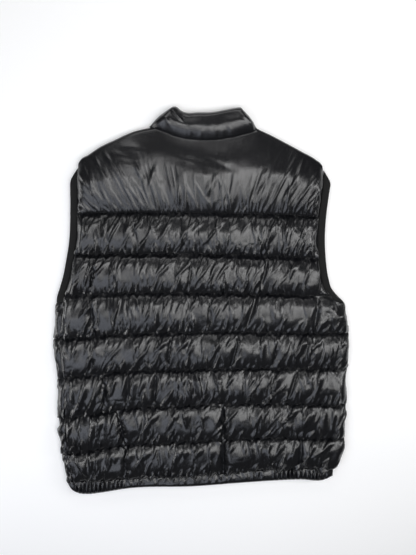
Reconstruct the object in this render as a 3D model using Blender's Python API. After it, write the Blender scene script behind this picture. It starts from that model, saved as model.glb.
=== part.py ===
"""A men's down-filled puffer vest, zipped up and laid flat on its front, collar towards +Y.

Every cut piece is its own closed solid.  The cloth walls are lofted from rows of computed points:
a plain inside, and an outside raised by the quilting, the creases and the gathers.
Sizes are in millimetres here and become metres when a mesh is made.
The wearer's left is on -X, the zip is underneath, and the underside rests on z = 0.
"""

import math

import bmesh
import bpy
import numpy as np

for old in list(bpy.data.objects):
    bpy.data.objects.remove(old)

MM = 0.001

# Levels, measured up from the surface that the vest lies on.
MID_LEVEL = 13.0            # height where the front and the back lie on each other
LAYER_GAP = 0.8             # free space between the two insides
SEAM_GAP = 0.3              # between two sewn pieces
FRONT_INSIDE = MID_LEVEL - LAYER_GAP / 2
BACK_INSIDE = MID_LEVEL + LAYER_GAP / 2

# Padding, as the wall's thickness.
STITCH_THICKNESS = 3.0      # where a quilting line goes through
BOUND_THICKNESS = 3.6       # where an edge is sewn into a binding, the collar or the hem
SIDE_SEAM_THICKNESS = 6.5
CHANNEL_THICKNESS = 17.0    # crown of a quilted channel on the back
YOKE_THICKNESS = 20.0       # crown of the tall channel over the shoulders
HEM_THICKNESS = 7.5
SOFTENING = 0.62            # exponent of the pillow curve: lower is fuller
SIDE_SOFTENING_WIDTH = 17.0
FOLD_REACH = 16.0           # how far the rounding of a side fold comes in from the edge
INNER_FOLD = 7.0            # how far the inside slit reaches into that rounding
RIM_INSET = 7.0             # width of the wall's rim where two halves meet on a fold
SHOULDER_RIM = 3.5          # the same, on the shoulder fold
THINNEST = 1.8              # wall at the bottom of the deepest crease

BINDING_WIDTH = 13.0
BINDING_THICKNESS = 4.0
LEFT_SEAM_INSET = 15.0      # the left front wraps round to this far inside the outline

# The vest's outline below the armholes: the side folds, seen from above.
SIDES = [
    # y, left, right
    (-346.0, -271.0, 263.0),
    (-330.0, -274.5, 267.0),
    (-306.0, -277.5, 275.5),
    (-264.0, -281.5, 284.0),
    (-221.0, -283.5, 283.0),
    (-179.0, -283.5, 284.0),
    (-137.0, -282.0, 282.5),
    (-105.0, -284.0, 285.3),
    (-76.0, -285.5, 285.2),
    (-36.0, -282.0, 284.0),
    (-4.0, -279.0, 279.0),
    (18.0, -276.0, 274.5),
]
# The outer edge of the armhole bindings.
ARMHOLES = [
    # y, left, right
    (18.0, -276.0, 274.5),
    (31.0, -273.5, 261.0),
    (45.0, -268.5, 249.5),
    (62.0, -262.8, 243.6),
    (100.0, -253.5, 236.6),
    (139.0, -246.0, 233.3),
    (176.0, -242.8, 233.8),
    (214.0, -241.0, 237.0),
    (232.0, -240.5, 239.0),
    (250.0, -240.0, 240.0),
    (262.0, -238.5, 238.5),
    (300.0, -234.0, 234.0),
]
UNDERARM_Y = 18.0

# Quilting lines from the hem band's seam up to the lowest line of the yoke.
QUILT_X = (-280.0, -150.0, 0.0, 150.0, 280.0)
QUILT_LINES = [
    # far left, left, centre, right, far right
    (-356.0, -347.0, -340.0, -326.5, -325.0),
    (-296.0, -274.5, -265.0, -259.5, -259.0),
    (-219.0, -198.5, -189.5, -187.0, -189.0),
    (-136.0, -120.0, -116.0, -114.5, -113.5),
    (-55.0, -46.5, -41.0, -42.0, -43.0),
    (30.0, 35.0, 36.0, 33.0, 28.0),
    (110.0, 111.0, 110.5, 106.0, 97.0),
    (185.5, 188.0, 187.5, 184.5, 177.0),
]
YOKE = len(QUILT_LINES) - 1         # the channel number of the yoke
UNDERARM_ROW = 4.85                 # the underarm, in channels up from the hem band
UNDERARM_RUN = 0.35                 # the side's padding thins towards it over this many channels

# Shoulders and back neck: the upper edge of the back panel.
TOP_EDGE = [
    # x, y
    (-242.0, 250.0), (-229.0, 269.0), (-220.0, 285.0), (-205.0, 294.5), (-186.0, 307.0),
    (-155.0, 321.5), (-122.0, 335.5), (-80.0, 344.5), (-37.0, 328.7), (0.0, 324.3),
    (36.0, 325.2), (72.0, 332.3), (103.0, 341.0), (130.0, 328.7), (158.0, 314.6),
    (185.5, 300.3), (211.5, 286.0), (222.5, 277.0), (230.0, 264.0), (242.0, 246.0),
]
NECK_LEFT = (-80.0, 344.5)
NECK_RIGHT = (103.0, 341.0)
NECK_X = (NECK_LEFT[0], NECK_RIGHT[0])

# Collar, above the neck seam.
COLLAR_ROWS = [
    # part of the way up, wall thickness
    (0.0, 3.6), (0.1, 8.5), (0.3, 12.0), (0.58, 13.0), (0.8, 11.0), (0.93, 7.0), (1.0, 3.2),
]
COLLAR_TOP = [
    # x, y of the upper edge on the back
    (-50.0, 379.6), (-43.0, 379.6), (-35.0, 373.5), (0.0, 370.0), (27.0, 371.0), (46.0, 374.5),
    (71.0, 378.5), (84.0, 378.5),
]
COLLAR_TOP_X = (-46.0, 78.0)        # where the folds begin at the upper edge
COLLAR_FOLD = 4.0
COLLAR_BULGE = 5.0
COLLAR_RIM = 3.0

# Front opening.
ZIP_X = 8.0
ZIP_HALF_OPENING = 8.0
ZIP_SOFTENING_WIDTH = 14.0
FRONT_CROWN = 15.7                  # padding that the weight of the vest presses down to the inside's height
FRONT_NECK_Y = 262.0                # centre front of the neckline
FRONT_RIM_Y = 317.0                 # top of the collar at the zip

# Zip.  Levels are heights above the surface that the vest lies on.
CHAIN_WIDTH = 5.0
CHAIN_LEVELS = (8.6, 11.2)
TAPE_LEVELS = (9.6, 10.8)
ZIP_BOTTOM_Y = -358.0
ZIP_TOP_Y = 316.0
SLIDER_WIDTH = 9.0
SLIDER_Y = (302.0, 314.0)
PLATE_LEVELS = (6.6, 8.3)
LUG_WIDTH = 2.2
LUG_HALF_LENGTH = 2.4
LUG_BOTTOM = 0.3
BORE_RADIUS = 0.95
PIN_RADIUS = 0.6
PULL_PIVOT = (307.0, 1.9)           # y, level
PULL_WIDTH = 6.4
PULL_THICKNESS = 1.8
PULL_LENGTH = 27.0
PULL_CLEARANCE = 1.1
ARM_WIDTH = 1.5

# Largest creases of the back: troughs that run up a channel.
CREASES = [
    # x, channel from, channel to, depth, width, lean in mm over the crease
    (-207.0, 4.1, 6.0, 10.0, 7.0, -4.0),
    (-210.0, 3.1, 3.95, 8.0, 7.0, 3.0),
    (-189.0, 2.1, 2.9, 8.0, 6.5, -6.0),
    (-142.0, 2.1, 2.95, 5.0, 6.0, 3.0),
    (-89.0, 2.1, 2.9, 6.0, 6.0, 3.0),
    (-157.0, 1.05, 1.95, 9.5, 7.0, -14.0),
    (-150.0, 0.1, 0.95, 7.0, 6.5, 2.0),
    (44.0, 1.05, 1.95, 9.5, 6.5, -2.0),
    (45.0, 0.1, 0.97, 9.5, 6.5, 0.0),
    (199.0, 0.1, 0.95, 8.0, 6.5, 3.0),
    (228.0, 4.05, 4.98, 11.0, 7.0, 4.0),
    (66.0, 3.1, 3.95, 6.0, 6.5, 12.0),
    (18.0, 4.1, 4.8, 6.0, 6.0, 2.0),
    (96.0, 4.1, 4.9, 7.0, 6.5, 20.0),
    (119.0, 5.1, 5.8, 5.5, 6.0, 16.0),
    (145.0, 3.1, 3.8, 5.0, 6.0, 10.0),
    (-60.0, 3.1, 3.9, 5.0, 6.0, 8.0),
    (-120.0, 6.1, 6.7, 4.0, 6.0, -10.0),
    (180.0, 2.2, 2.95, 6.0, 7.0, 18.0),
    (-20.0, 5.1, 5.8, 4.5, 6.0, 6.0),
]

# Puckers: shallow waves beside each quilting line.
PUCKER_PITCH = 29.0
PUCKER_DEPTH = 1.6

# Elastic gathers of the hem band, at each side.
GATHER_PITCH = 8.4
GATHER_DEPTH = 2.2
GATHERED_LEFT = (-262.0, -150.0)
GATHERED_RIGHT = (142.0, 258.0)
HEM_EDGE = [
    # x, y of the hem's lower edge
    (-271.0, -358.0), (-262.0, -370.0), (-250.0, -377.0), (-230.0, -380.0), (-205.0, -377.0),
    (-150.0, -367.5), (-12.0, -362.5), (80.0, -355.0), (140.0, -350.5), (200.0, -347.5),
    (250.0, -346.0), (263.0, -341.0),
]

HEM_MIDDLE_Y = -352.0
HEM_ROWS = [
    # part of the way up, wall thickness
    (0.0, 2.2), (0.14, 5.5), (0.45, 7.5), (0.8, 6.0), (1.0, 3.4),
]

CHANNEL_ROWS = (0.0, 0.09, 0.3, 0.7, 0.91)
YOKE_ROWS = (0.0, 0.05, 0.14, 0.28, 0.45, 0.62, 0.77, 0.88, 0.95, 1.0)


def curve_through(points):
    """A smooth function through (position, value) pairs: cubic pieces with Catmull-Rom slopes."""
    at = np.array([p[0] for p in points], float)
    value = np.array([p[1] for p in points], float)
    slope = np.gradient(value, at)

    def smooth(x):
        x = np.clip(x, at[0], at[-1])
        i = np.clip(np.searchsorted(at, x) - 1, 0, len(at) - 2)
        span = at[i + 1] - at[i]
        t = (x - at[i]) / span
        return (
            value[i] * (1 + 2 * t) * (1 - t) ** 2
            + slope[i] * span * t * (1 - t) ** 2
            + value[i + 1] * t * t * (3 - 2 * t)
            + slope[i + 1] * span * t * t * (t - 1)
        )

    return smooth


def broken_curve(points, corners):
    """A curve through the points that keeps a corner at each of the named positions."""
    cuts = [0] + [i for i, p in enumerate(points) if p[0] in corners] + [len(points) - 1]
    parts = [curve_through(points[a:b + 1]) for a, b in zip(cuts[:-1], cuts[1:])]
    edges = [points[c][0] for c in cuts[1:-1]]

    def broken(x):
        x = np.asarray(x, float)
        index = np.searchsorted(edges, x)
        result = np.zeros_like(x)
        for k, part in enumerate(parts):
            result = np.where(index == k, part(x), result)
        return result

    return broken


side_left = curve_through([(y, left) for y, left, _ in SIDES])
side_right = curve_through([(y, right) for y, _, right in SIDES])
arm_left = curve_through([(y, left) for y, left, _ in ARMHOLES])
arm_right = curve_through([(y, right) for y, _, right in ARMHOLES])
top_edge = broken_curve(TOP_EDGE, (NECK_LEFT[0], NECK_RIGHT[0]))
hem_edge = curve_through(HEM_EDGE)
quilt_lines = [curve_through(list(zip(QUILT_X, line))) for line in QUILT_LINES]
front_neck = broken_curve(
    [
        NECK_LEFT, (-72.0, 312.0), (-52.0, 286.0), (-22.0, 268.0), (ZIP_X, FRONT_NECK_Y),
        (40.0, 268.0), (72.0, 285.0), (94.0, 310.0), NECK_RIGHT,
    ],
    (),
)


collar_top = curve_through(COLLAR_TOP)


def outline_left(y):
    return np.where(y < UNDERARM_Y, side_left(y), arm_left(y))


def outline_right(y):
    return np.where(y < UNDERARM_Y, side_right(y), arm_right(y))


def in_neck(x):
    return (x > NECK_X[0] - 0.5) & (x < NECK_X[1] + 0.5)


def front_top(x):
    """Upper edge of a front: its shoulder, or its neckline between the neck points."""
    inside = (x > NECK_X[0]) & (x < NECK_X[1])
    return np.where(inside, front_neck(x), top_edge(x))


def row_y(channel, x, top):
    """Where a row lies along Y at each x; the row is given in channels, top is the upper edge's function."""
    k = int(min(math.floor(channel), YOKE))
    part = channel - k
    low = quilt_lines[k](x)
    high = quilt_lines[k + 1](x) if k < YOKE else top(x)
    return low + (high - low) * part


def channel_rows():
    rows = [k + f for k in range(YOKE) for f in CHANNEL_ROWS]
    nearest = min(range(len(rows)), key=lambda i: abs(rows[i] - UNDERARM_ROW))
    rows[nearest] = UNDERARM_ROW
    return rows + [YOKE + f for f in YOKE_ROWS]


def pillow(part):
    """The round of a filled channel: 0 on its two stitch lines and 1 at its crown."""
    return np.sin(np.pi * np.clip(part, 0.0, 1.0)) ** SOFTENING


def yoke_round(part, crown_at=0.34):
    """The yoke rises from its stitch line like a channel and falls in one long slope to the shoulder."""
    rise = np.sin(np.pi / 2 * np.clip(part / crown_at, 0, 1)) ** SOFTENING
    fall = np.sqrt(np.clip(1 - np.clip((part - crown_at) / (1 - crown_at), 0, 1) ** 2.3, 0, 1))
    return np.where(part < crown_at, rise, fall)


def edge_rise(distance, width=SIDE_SOFTENING_WIDTH):
    """0 on a sewn edge and 1 once the padding is clear of it."""
    return np.sin(np.pi / 2 * np.clip(distance / width, 0, 1)) ** 0.7


def creases(x, channel):
    """Depth of the large creases at each point."""
    depth = np.zeros_like(x)
    for at, low, high, deep, width, lean in CREASES:
        along = (channel - low) / (high - low)
        window = np.sin(np.pi * np.clip(along, 0, 1)) ** 0.5
        centre = at + lean * (along - 0.5)
        depth += deep * window * np.exp(-(((x - centre) / width) ** 2))
    return depth


def puckers(x, channel):
    """Shallow waves that are deepest beside a stitch line, each line with its own phase."""
    nearest = np.round(np.clip(channel, 0, YOKE))
    beside = np.exp(-(((channel - nearest) / 0.16) ** 2)) * (np.abs(channel - nearest) > 0.01)
    drift = 4.0 * np.sin(x / 47.0 + nearest)
    return PUCKER_DEPTH * beside * np.sin(2 * np.pi * (x + drift) / PUCKER_PITCH + 1.9 * nearest)


def padding(x, channel, crown, yoke_crown, low):
    """Wall thickness of a quilted panel before its edges and creases."""
    part = channel - np.floor(np.minimum(channel, YOKE))
    round_part = np.where(channel >= YOKE, yoke_round(part), pillow(part))
    full = np.where(channel >= YOKE, yoke_crown, crown)
    return low + (full - low) * round_part


def wall_object(name, outer, inner, keep=None, plain_inside=True):
    """A closed cloth wall between two grids of points (rows, columns, xyz in mm), with its rim closed.

    keep says which cells exist, so a panel can have a notch."""
    rows, columns = outer.shape[:2]
    keep = np.ones((rows - 1, columns - 1), bool) if keep is None else keep
    bm = bmesh.new()
    used = np.zeros((rows, columns), bool)
    for r, c in zip(*np.nonzero(keep)):
        used[r:r + 2, c:c + 2] = True
    grids = []
    for points in (outer, inner):
        grid = {(r, c): bm.verts.new(points[r, c] * MM) for r, c in zip(*np.nonzero(used))}
        grids.append(grid)
    out, ins = grids
    inside_faces = []
    edge_use = {}
    for r, c in zip(*np.nonzero(keep)):
        corners = [(r, c), (r, c + 1), (r + 1, c + 1), (r + 1, c)]
        bm.faces.new([out[k] for k in corners])
        inside_faces.append(bm.faces.new([ins[k] for k in reversed(corners)]))
        for a, b in zip(corners, corners[1:] + corners[:1]):
            if (b, a) in edge_use:
                del edge_use[(b, a)]
            else:
                edge_use[(a, b)] = True
    for a, b in edge_use:
        bm.faces.new([out[b], out[a], ins[a], ins[b]])
    if plain_inside:
        rim = {v for a, b in edge_use for v in (ins[a], ins[b])}
        inside_edges = {e for f in inside_faces for e in f.edges if not set(e.verts) <= rim}
        inside_verts = {v for f in inside_faces for v in f.verts} - rim
        bmesh.ops.dissolve_limit(
            bm, angle_limit=math.radians(1.0), verts=list(inside_verts), edges=list(inside_edges)
        )
    bmesh.ops.recalc_face_normals(bm, faces=bm.faces)
    mesh = bpy.data.meshes.new(name)
    bm.to_mesh(mesh)
    bm.free()
    mesh.shade_smooth()
    mesh.set_sharp_from_angle(angle=math.radians(50))
    return add_object(name, mesh)


def add_object(name, mesh):
    obj = bpy.data.objects.new(name, mesh)
    vest.objects.link(obj)
    return obj


def cloth_material(name, colour, roughness, metallic=0.0):
    material = bpy.data.materials.new(name)
    material.use_nodes = True
    shader = material.node_tree.nodes["Principled BSDF"]
    shader.inputs["Base Color"].default_value = (*colour, 1.0)
    shader.inputs["Roughness"].default_value = roughness
    shader.inputs["Metallic"].default_value = metallic
    return material


def grid_points(x, y, z):
    return np.stack(np.broadcast_arrays(x, y, z), axis=-1).astype(float)


def settle_edge(channel, start, edge, inset, top):
    """The x of a panel's edge on one row: the edge is given by y, and the row's y depends on x."""
    x = np.array(start, float)
    for _ in range(6):
        x = edge(row_y(channel, x, top)) + inset
    return float(x)


BODY_COLUMNS = 46
FRONT_COLUMNS = 12
COLLAR_COLUMNS = 15
FOLD_ANGLES = np.radians((-90, -64, -40, -18, 0, 18, 40, 64, 90))    # round a side fold, from below to above
RISING_ANGLES = FOLD_ANGLES[5:]                                      # the part of it that is on the back
EDGE_FOLD_ANGLES = FOLD_ANGLES[1:5]                                  # and the part that is on the front


def settle_edge(channel, edge, inset, start):
    """The x of a panel's edge on one row: the edge is given by y, and the row's y depends on x."""
    x = np.array(start, float)
    for _ in range(8):
        x = edge(row_y(channel, x, top_edge)) + inset
    return float(x)


def snapped(fractions, wanted):
    """Even fractions across a panel, with the nearest one moved on to each wanted fraction."""
    for fraction in wanted:
        fractions[np.abs(fractions - fraction).argmin()] = fraction
    return fractions


def armhole_edge(channel, side):
    """Where a panel's edge meets the binding on one row."""
    outline = outline_left if side < 0 else outline_right
    return settle_edge(channel, outline, -side * (BINDING_WIDTH + SEAM_GAP), 240.0 * side)


def near_armhole(channel):
    """0 down the side and 1 at the armhole, with a short run between them under the arm."""
    return float(np.clip((channel - UNDERARM_ROW + UNDERARM_RUN) / UNDERARM_RUN, 0, 1))


def back_row_ends(channel):
    if channel > UNDERARM_ROW:
        return armhole_edge(channel, -1), armhole_edge(channel, 1)
    left = settle_edge(channel, outline_left, LEFT_SEAM_INSET, -265.0)
    right = settle_edge(channel, outline_right, -FOLD_REACH, 265.0)
    return left, right


def back_columns():
    left, right = back_row_ends(YOKE + 1)
    return snapped(np.linspace(0, 1, BODY_COLUMNS), [(n - left) / (right - left) for n in NECK_X])


def back_row_x(channel):
    left, right = back_row_ends(channel)
    return left + (right - left) * back_columns()


def back_panel():
    """The back and yoke in one piece, from the hem band's seam up to the shoulders and neck.

    On the left it stops at the side seam and the binding.  On the right its round edge comes down
    to the level where it meets the right front, below the armhole only."""
    outer, inner = [], []
    rows = channel_rows()
    for channel in rows:
        x = back_row_x(channel)
        armhole = near_armhole(channel)
        rim = SIDE_SEAM_THICKNESS + (BOUND_THICKNESS - SIDE_SEAM_THICKNESS) * armhole
        full = padding(x, channel, CHANNEL_THICKNESS, YOKE_THICKNESS, STITCH_THICKNESS)
        rim = min(rim, float(full.min()) + 1.5)
        from_left = edge_rise(x - x[0])
        from_right = edge_rise(x[-1] - x) * armhole + (1 - armhole)
        thick = rim + (full - rim) * from_left
        thick = BOUND_THICKNESS + (thick - BOUND_THICKNESS) * from_right
        thick = np.maximum(thick - (creases(x, channel) - puckers(x, channel)) * from_left, THINNEST)
        y = row_y(channel, x, top_edge)
        inside_y = y.copy()
        if channel == YOKE + 1:
            thick = np.where(in_neck(x), BOUND_THICKNESS, (SEAM_GAP - LAYER_GAP) / 2)
            inside_y -= np.where(in_neck(x), 0.0, SHOULDER_RIM)
        meeting = MID_LEVEL + SEAM_GAP / 2
        turn = RISING_ANGLES[-2::-1]
        turn = np.append(turn, 0.0)
        fold_x = x[-1] + FOLD_REACH * np.cos(turn)
        fold_z = meeting + (BACK_INSIDE + thick[-1] - meeting) * np.sin(turn)
        fold_inside_x = x[-1] + (FOLD_REACH - RIM_INSET) * np.cos(turn)
        fold_y = row_y(channel, fold_x, top_edge)
        outer.append(grid_points(
            np.append(x, fold_x), np.append(y, fold_y), np.append(BACK_INSIDE + thick, fold_z)))
        inner.append(grid_points(
            np.append(x, fold_inside_x), np.append(inside_y, fold_y), BACK_INSIDE))
    outer, inner = np.array(outer), np.array(inner)
    keep = np.ones((len(rows) - 1, outer.shape[1] - 1), bool)
    keep[rows.index(UNDERARM_ROW):, BODY_COLUMNS - 1:] = False
    return wall_object("back_panel", outer, inner, keep)


def zip_edge(side):
    return ZIP_X + side * ZIP_HALF_OPENING


def front_row_x(channel, side):
    """A front's points across one row, from the zip out to the armhole or the start of the side fold."""
    def row_end(row):
        if row > UNDERARM_ROW:
            return armhole_edge(row, side)
        outline = outline_left if side < 0 else outline_right
        return settle_edge(row, outline, -side * FOLD_REACH, 265.0 * side)

    start, shoulder_end = zip_edge(side), row_end(YOKE + 1)
    neck_x = NECK_X[0] if side < 0 else NECK_X[1]
    across = snapped(np.linspace(0, 1, FRONT_COLUMNS), [(neck_x - start) / (shoulder_end - start)])
    return start + (row_end(channel) - start) * across


def front_panel(name, side):
    """One front, under the back.  side is -1 for the wearer's left and 1 for the right.

    The left front runs round its side fold and ends at the side seam on the upper side."""
    rows = channel_rows()
    angles = FOLD_ANGLES[1:] if side < 0 else EDGE_FOLD_ANGLES
    outer, inner = [], []
    for channel in rows:
        x = front_row_x(channel, side)
        armhole = near_armhole(channel)
        full = padding(x, channel, FRONT_CROWN, FRONT_CROWN, STITCH_THICKNESS)
        zip_rim = STITCH_THICKNESS + 1.0
        thick = zip_rim + (full - zip_rim) * edge_rise(np.abs(x - zip_edge(side)), ZIP_SOFTENING_WIDTH)
        side_rise = edge_rise(np.abs(x[-1] - x)) * armhole + (1 - armhole)
        thick = np.minimum(BOUND_THICKNESS + (thick - BOUND_THICKNESS) * side_rise, FRONT_INSIDE)
        y = row_y(channel, x, front_top)
        inside_y = y.copy()
        if channel == YOKE + 1:
            thick = np.where(in_neck(x), BOUND_THICKNESS, (SEAM_GAP - LAYER_GAP) / 2)
            inside_y -= np.where(in_neck(x), 0.0, SHOULDER_RIM)
        fold_x = x[-1] + side * FOLD_REACH * np.cos(angles)
        rise = np.abs(np.sin(angles))
        if side < 0:
            below = MID_LEVEL - (MID_LEVEL - FRONT_INSIDE + thick[-1]) * rise
            wrap = padding(x[-1], channel, CHANNEL_THICKNESS - 2.0, YOKE_THICKNESS, STITCH_THICKNESS)
            wrap = BOUND_THICKNESS + (min(float(wrap), thick[-1] + 3.0) - BOUND_THICKNESS) * (1 - armhole)
            seam = min(SIDE_SEAM_THICKNESS, wrap)
            above = MID_LEVEL + (LAYER_GAP / 2 + wrap + (seam - wrap) * rise ** 4) * rise
            fold_z = np.where(angles <= 0, below, above)
            seam_x = x[-1] + side * (FOLD_REACH - LEFT_SEAM_INSET + SEAM_GAP)
            fold_x = np.minimum(fold_x, seam_x)
            fold_inside_x = np.minimum(x[-1] + side * INNER_FOLD * np.cos(angles), seam_x)
            fold_inside_z = MID_LEVEL + LAYER_GAP / 2 * np.sin(angles)
        else:
            meeting = MID_LEVEL - SEAM_GAP / 2
            fold_z = meeting - (meeting - FRONT_INSIDE + thick[-1]) * rise
            fold_inside_x = x[-1] + (FOLD_REACH - RIM_INSET) * np.cos(angles)
            fold_inside_z = np.full(len(angles), FRONT_INSIDE)
        outer.append(grid_points(
            np.append(x, fold_x), np.append(y, row_y(channel, fold_x, top_edge)),
            np.append(FRONT_INSIDE - thick, fold_z)))
        inner.append(grid_points(
            np.append(x, fold_inside_x), np.append(inside_y, row_y(channel, fold_inside_x, top_edge)),
            np.append(np.full_like(x, FRONT_INSIDE), fold_inside_z)))
    outer, inner = np.array(outer), np.array(inner)
    keep = np.ones((len(rows) - 1, outer.shape[1] - 1), bool)
    keep[rows.index(UNDERARM_ROW):, FRONT_COLUMNS - 1:] = False
    return wall_object(name, outer, inner, keep)


def collar():
    """The collar, one padded band pressed flat: from the zip round the left fold, over the back of
    the neck, round the right fold and back to the zip."""
    back_x = back_row_x(YOKE + 1)
    back_y = row_y(YOKE + 1, back_x, top_edge)
    low, high, level, turn, side_of = [], [], [], [], []

    def station(low_point, high_point, angle, side):
        low.append(low_point)
        high.append(high_point)
        turn.append(angle)
        side_of.append(side)

    def front_half(side):
        x = front_row_x(YOKE + 1, side)
        y = row_y(YOKE + 1, x, front_top)
        fold_low = NECK_X[0] + COLLAR_FOLD if side < 0 else NECK_X[1] - COLLAR_FOLD
        fold_high = COLLAR_TOP_X[0] if side < 0 else COLLAR_TOP_X[1]
        order = np.argsort(x)
        wanted = [zip_edge(side)] + [v for v in x if (v - zip_edge(side)) * (v - fold_low) < 0] + [fold_low]
        for v in wanted:
            part = (v - zip_edge(side)) / (fold_low - zip_edge(side))
            shift = 0.0 if part == 0 else -side * SEAM_GAP * 0.75
            top_x = zip_edge(side) + (fold_high - zip_edge(side)) * part
            top_y = FRONT_RIM_Y + (collar_top(fold_high) - FRONT_RIM_Y) * part ** 2.2
            yield (v + shift, np.interp(v, x[order], y[order]) + SEAM_GAP * 0.85), (top_x, top_y)

    def fold(side, angles):
        """Stations round a fold; the panels' neck corner is just outside it."""
        x = front_row_x(YOKE + 1, side)
        y = row_y(YOKE + 1, x, front_top)
        order = np.argsort(x)
        neck = NECK_X[0] if side < 0 else NECK_X[1]
        centre = neck - side * COLLAR_FOLD
        fold_high = COLLAR_TOP_X[0] if side < 0 else COLLAR_TOP_X[1]
        for a in angles:
            v = centre + side * COLLAR_FOLD * math.cos(a)
            rim = np.interp(v, x[order], y[order]) if a < 0 else np.interp(v, back_x, back_y)
            shift = -side * SEAM_GAP * 0.75 if a < 0 else 0.0
            yield (centre + shift, rim + SEAM_GAP * 0.85), (fold_high, float(collar_top(fold_high))), a

    for a, b in front_half(-1):
        station(a, b, -math.pi / 2, -1)
    for a, b, angle in fold(-1, FOLD_ANGLES[1:]):
        station(a, b, angle, -1)
    for s in np.linspace(0, 1, COLLAR_COLUMNS)[1:-1]:
        x = NECK_X[0] + COLLAR_FOLD + (NECK_X[1] - NECK_X[0] - 2 * COLLAR_FOLD) * s
        top_x = COLLAR_TOP_X[0] + (COLLAR_TOP_X[1] - COLLAR_TOP_X[0]) * s
        x = back_x[np.abs(back_x - x).argmin()]
        rim = (x, np.interp(x, back_x, back_y) + SEAM_GAP)
        station(rim, (top_x, float(collar_top(top_x))), math.pi / 2, 0)
    for a, b, angle in list(fold(1, FOLD_ANGLES[1:]))[::-1]:
        station(a, b, angle, 1)
    for a, b in list(front_half(1))[::-1]:
        station(a, b, -math.pi / 2, 1)
    outer, inner = [], []
    low, high, turn, side_of = (np.array(v, float) for v in (low, high, turn, side_of))
    for up, thick in COLLAR_ROWS:
        centre = low + (high - low) * up
        reach = COLLAR_FOLD + COLLAR_BULGE * math.sin(math.pi * up)
        upper = np.where(turn > 0, thick, min(thick, FRONT_INSIDE))
        x = centre[:, 0] + side_of * reach * np.cos(turn)
        z = MID_LEVEL + (LAYER_GAP / 2 + upper) * np.sin(turn)
        outer.append(grid_points(x, centre[:, 1], z))
        inside_x = centre[:, 0] + side_of * (reach - COLLAR_RIM) * np.cos(turn)
        inner.append(grid_points(inside_x, centre[:, 1], MID_LEVEL + LAYER_GAP / 2 * np.sin(turn)))
    return wall_object("collar", np.array(outer), np.array(inner), plain_inside=False)


def armhole_points(side):
    """The back panel's edge along an armhole, from just above the underarm up to the shoulder."""
    points = []
    for channel in [r for r in channel_rows() if r >= UNDERARM_ROW]:
        x = back_row_ends(channel)[0 if side < 0 else 1]
        points.append((x, float(row_y(channel, np.array(x), top_edge))))
    points = np.array(points)
    above = (BINDING_THICKNESS + 1.0) / (points[1, 1] - points[0, 1])
    points[0] += (points[1] - points[0]) * above
    return points


def binding(name, side):
    """An armhole's elastic binding: a closed loop pressed flat, half on the back's edge and half on
    the front's, folded over at the shoulder and under the arm."""
    outline = outline_left if side < 0 else outline_right
    centre, across = [], []
    for x, y in armhole_points(side):
        inside = x + side * SEAM_GAP
        outside = float(outline(y))
        centre.append(((inside + outside) / 2, y))
        across.append(abs(outside - inside) / 2)
    centre = np.array(centre)
    half = BINDING_THICKNESS / 2
    radius = SEAM_GAP / 2 + half
    loop = []
    for step in (1, -1):
        order = range(len(centre))[::step]
        level = MID_LEVEL + step * radius
        for i in order:
            loop.append((centre[i][0], centre[i][1], level, across[i], step * math.pi / 2, (0.0, 0.0)))
        last = order[-1]
        before = last - step
        along = centre[last] - centre[before]
        along = along / np.linalg.norm(along)
        for a in np.radians((60, 30, 0, -30, -60)):
            loop.append((
                *centre[last] + along * radius * math.cos(a), MID_LEVEL + step * radius * math.sin(a),
                across[last], step * a, along * math.cos(a)))
    corners = [
        # part of the half width, part of the half thickness
        (-1.0, -0.45), (-0.75, -1.0), (0.0, -1.0), (0.75, -1.0), (1.0, -0.45),
        (1.0, 0.45), (0.75, 1.0), (0.0, 1.0), (-0.75, 1.0), (-1.0, 0.45),
    ]
    bm = bmesh.new()
    rings = []
    for x, y, z, width, angle, out in loop:
        normal = np.array([out[0], out[1], math.sin(angle)])
        ring = []
        for u, v in corners:
            point = np.array([x + u * width, y, z]) + normal * half * v
            ring.append(bm.verts.new(point * MM))
        rings.append(ring)
    for one, two in zip(rings, rings[1:] + rings[:1]):
        for k in range(len(corners)):
            n = (k + 1) % len(corners)
            bm.faces.new([one[k], one[n], two[n], two[k]])
    bmesh.ops.recalc_face_normals(bm, faces=bm.faces)
    mesh = bpy.data.meshes.new(name)
    bm.to_mesh(mesh)
    bm.free()
    mesh.shade_smooth()
    return add_object(name, mesh)


def hem_columns(left, right):
    """Points across the hem band: four to each gather, and wide steps between the gathered parts."""
    step = GATHER_PITCH / 4
    gathered = [np.arange(*zone, step) for zone in (GATHERED_LEFT, GATHERED_RIGHT)]
    middle = np.linspace(GATHERED_LEFT[1], GATHERED_RIGHT[0], 14)
    x = np.unique(np.round(np.concatenate(gathered + [middle]), 3))
    return np.concatenate(([left], x[(x > left + 2) & (x < right - 2)], [right]))


def gathers(x):
    """Waves of the elastic gathers, uneven from one to the next, and 0 between the gathered parts."""
    wave = np.sin(2 * np.pi * x / GATHER_PITCH) * (1 + 0.35 * np.sin(x / 13.0))
    inside = np.zeros_like(x)
    for low, high in (GATHERED_LEFT, GATHERED_RIGHT):
        inside += np.clip(np.minimum(x - low, high - x) / 8.0, 0, 1)
    return wave * inside


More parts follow.
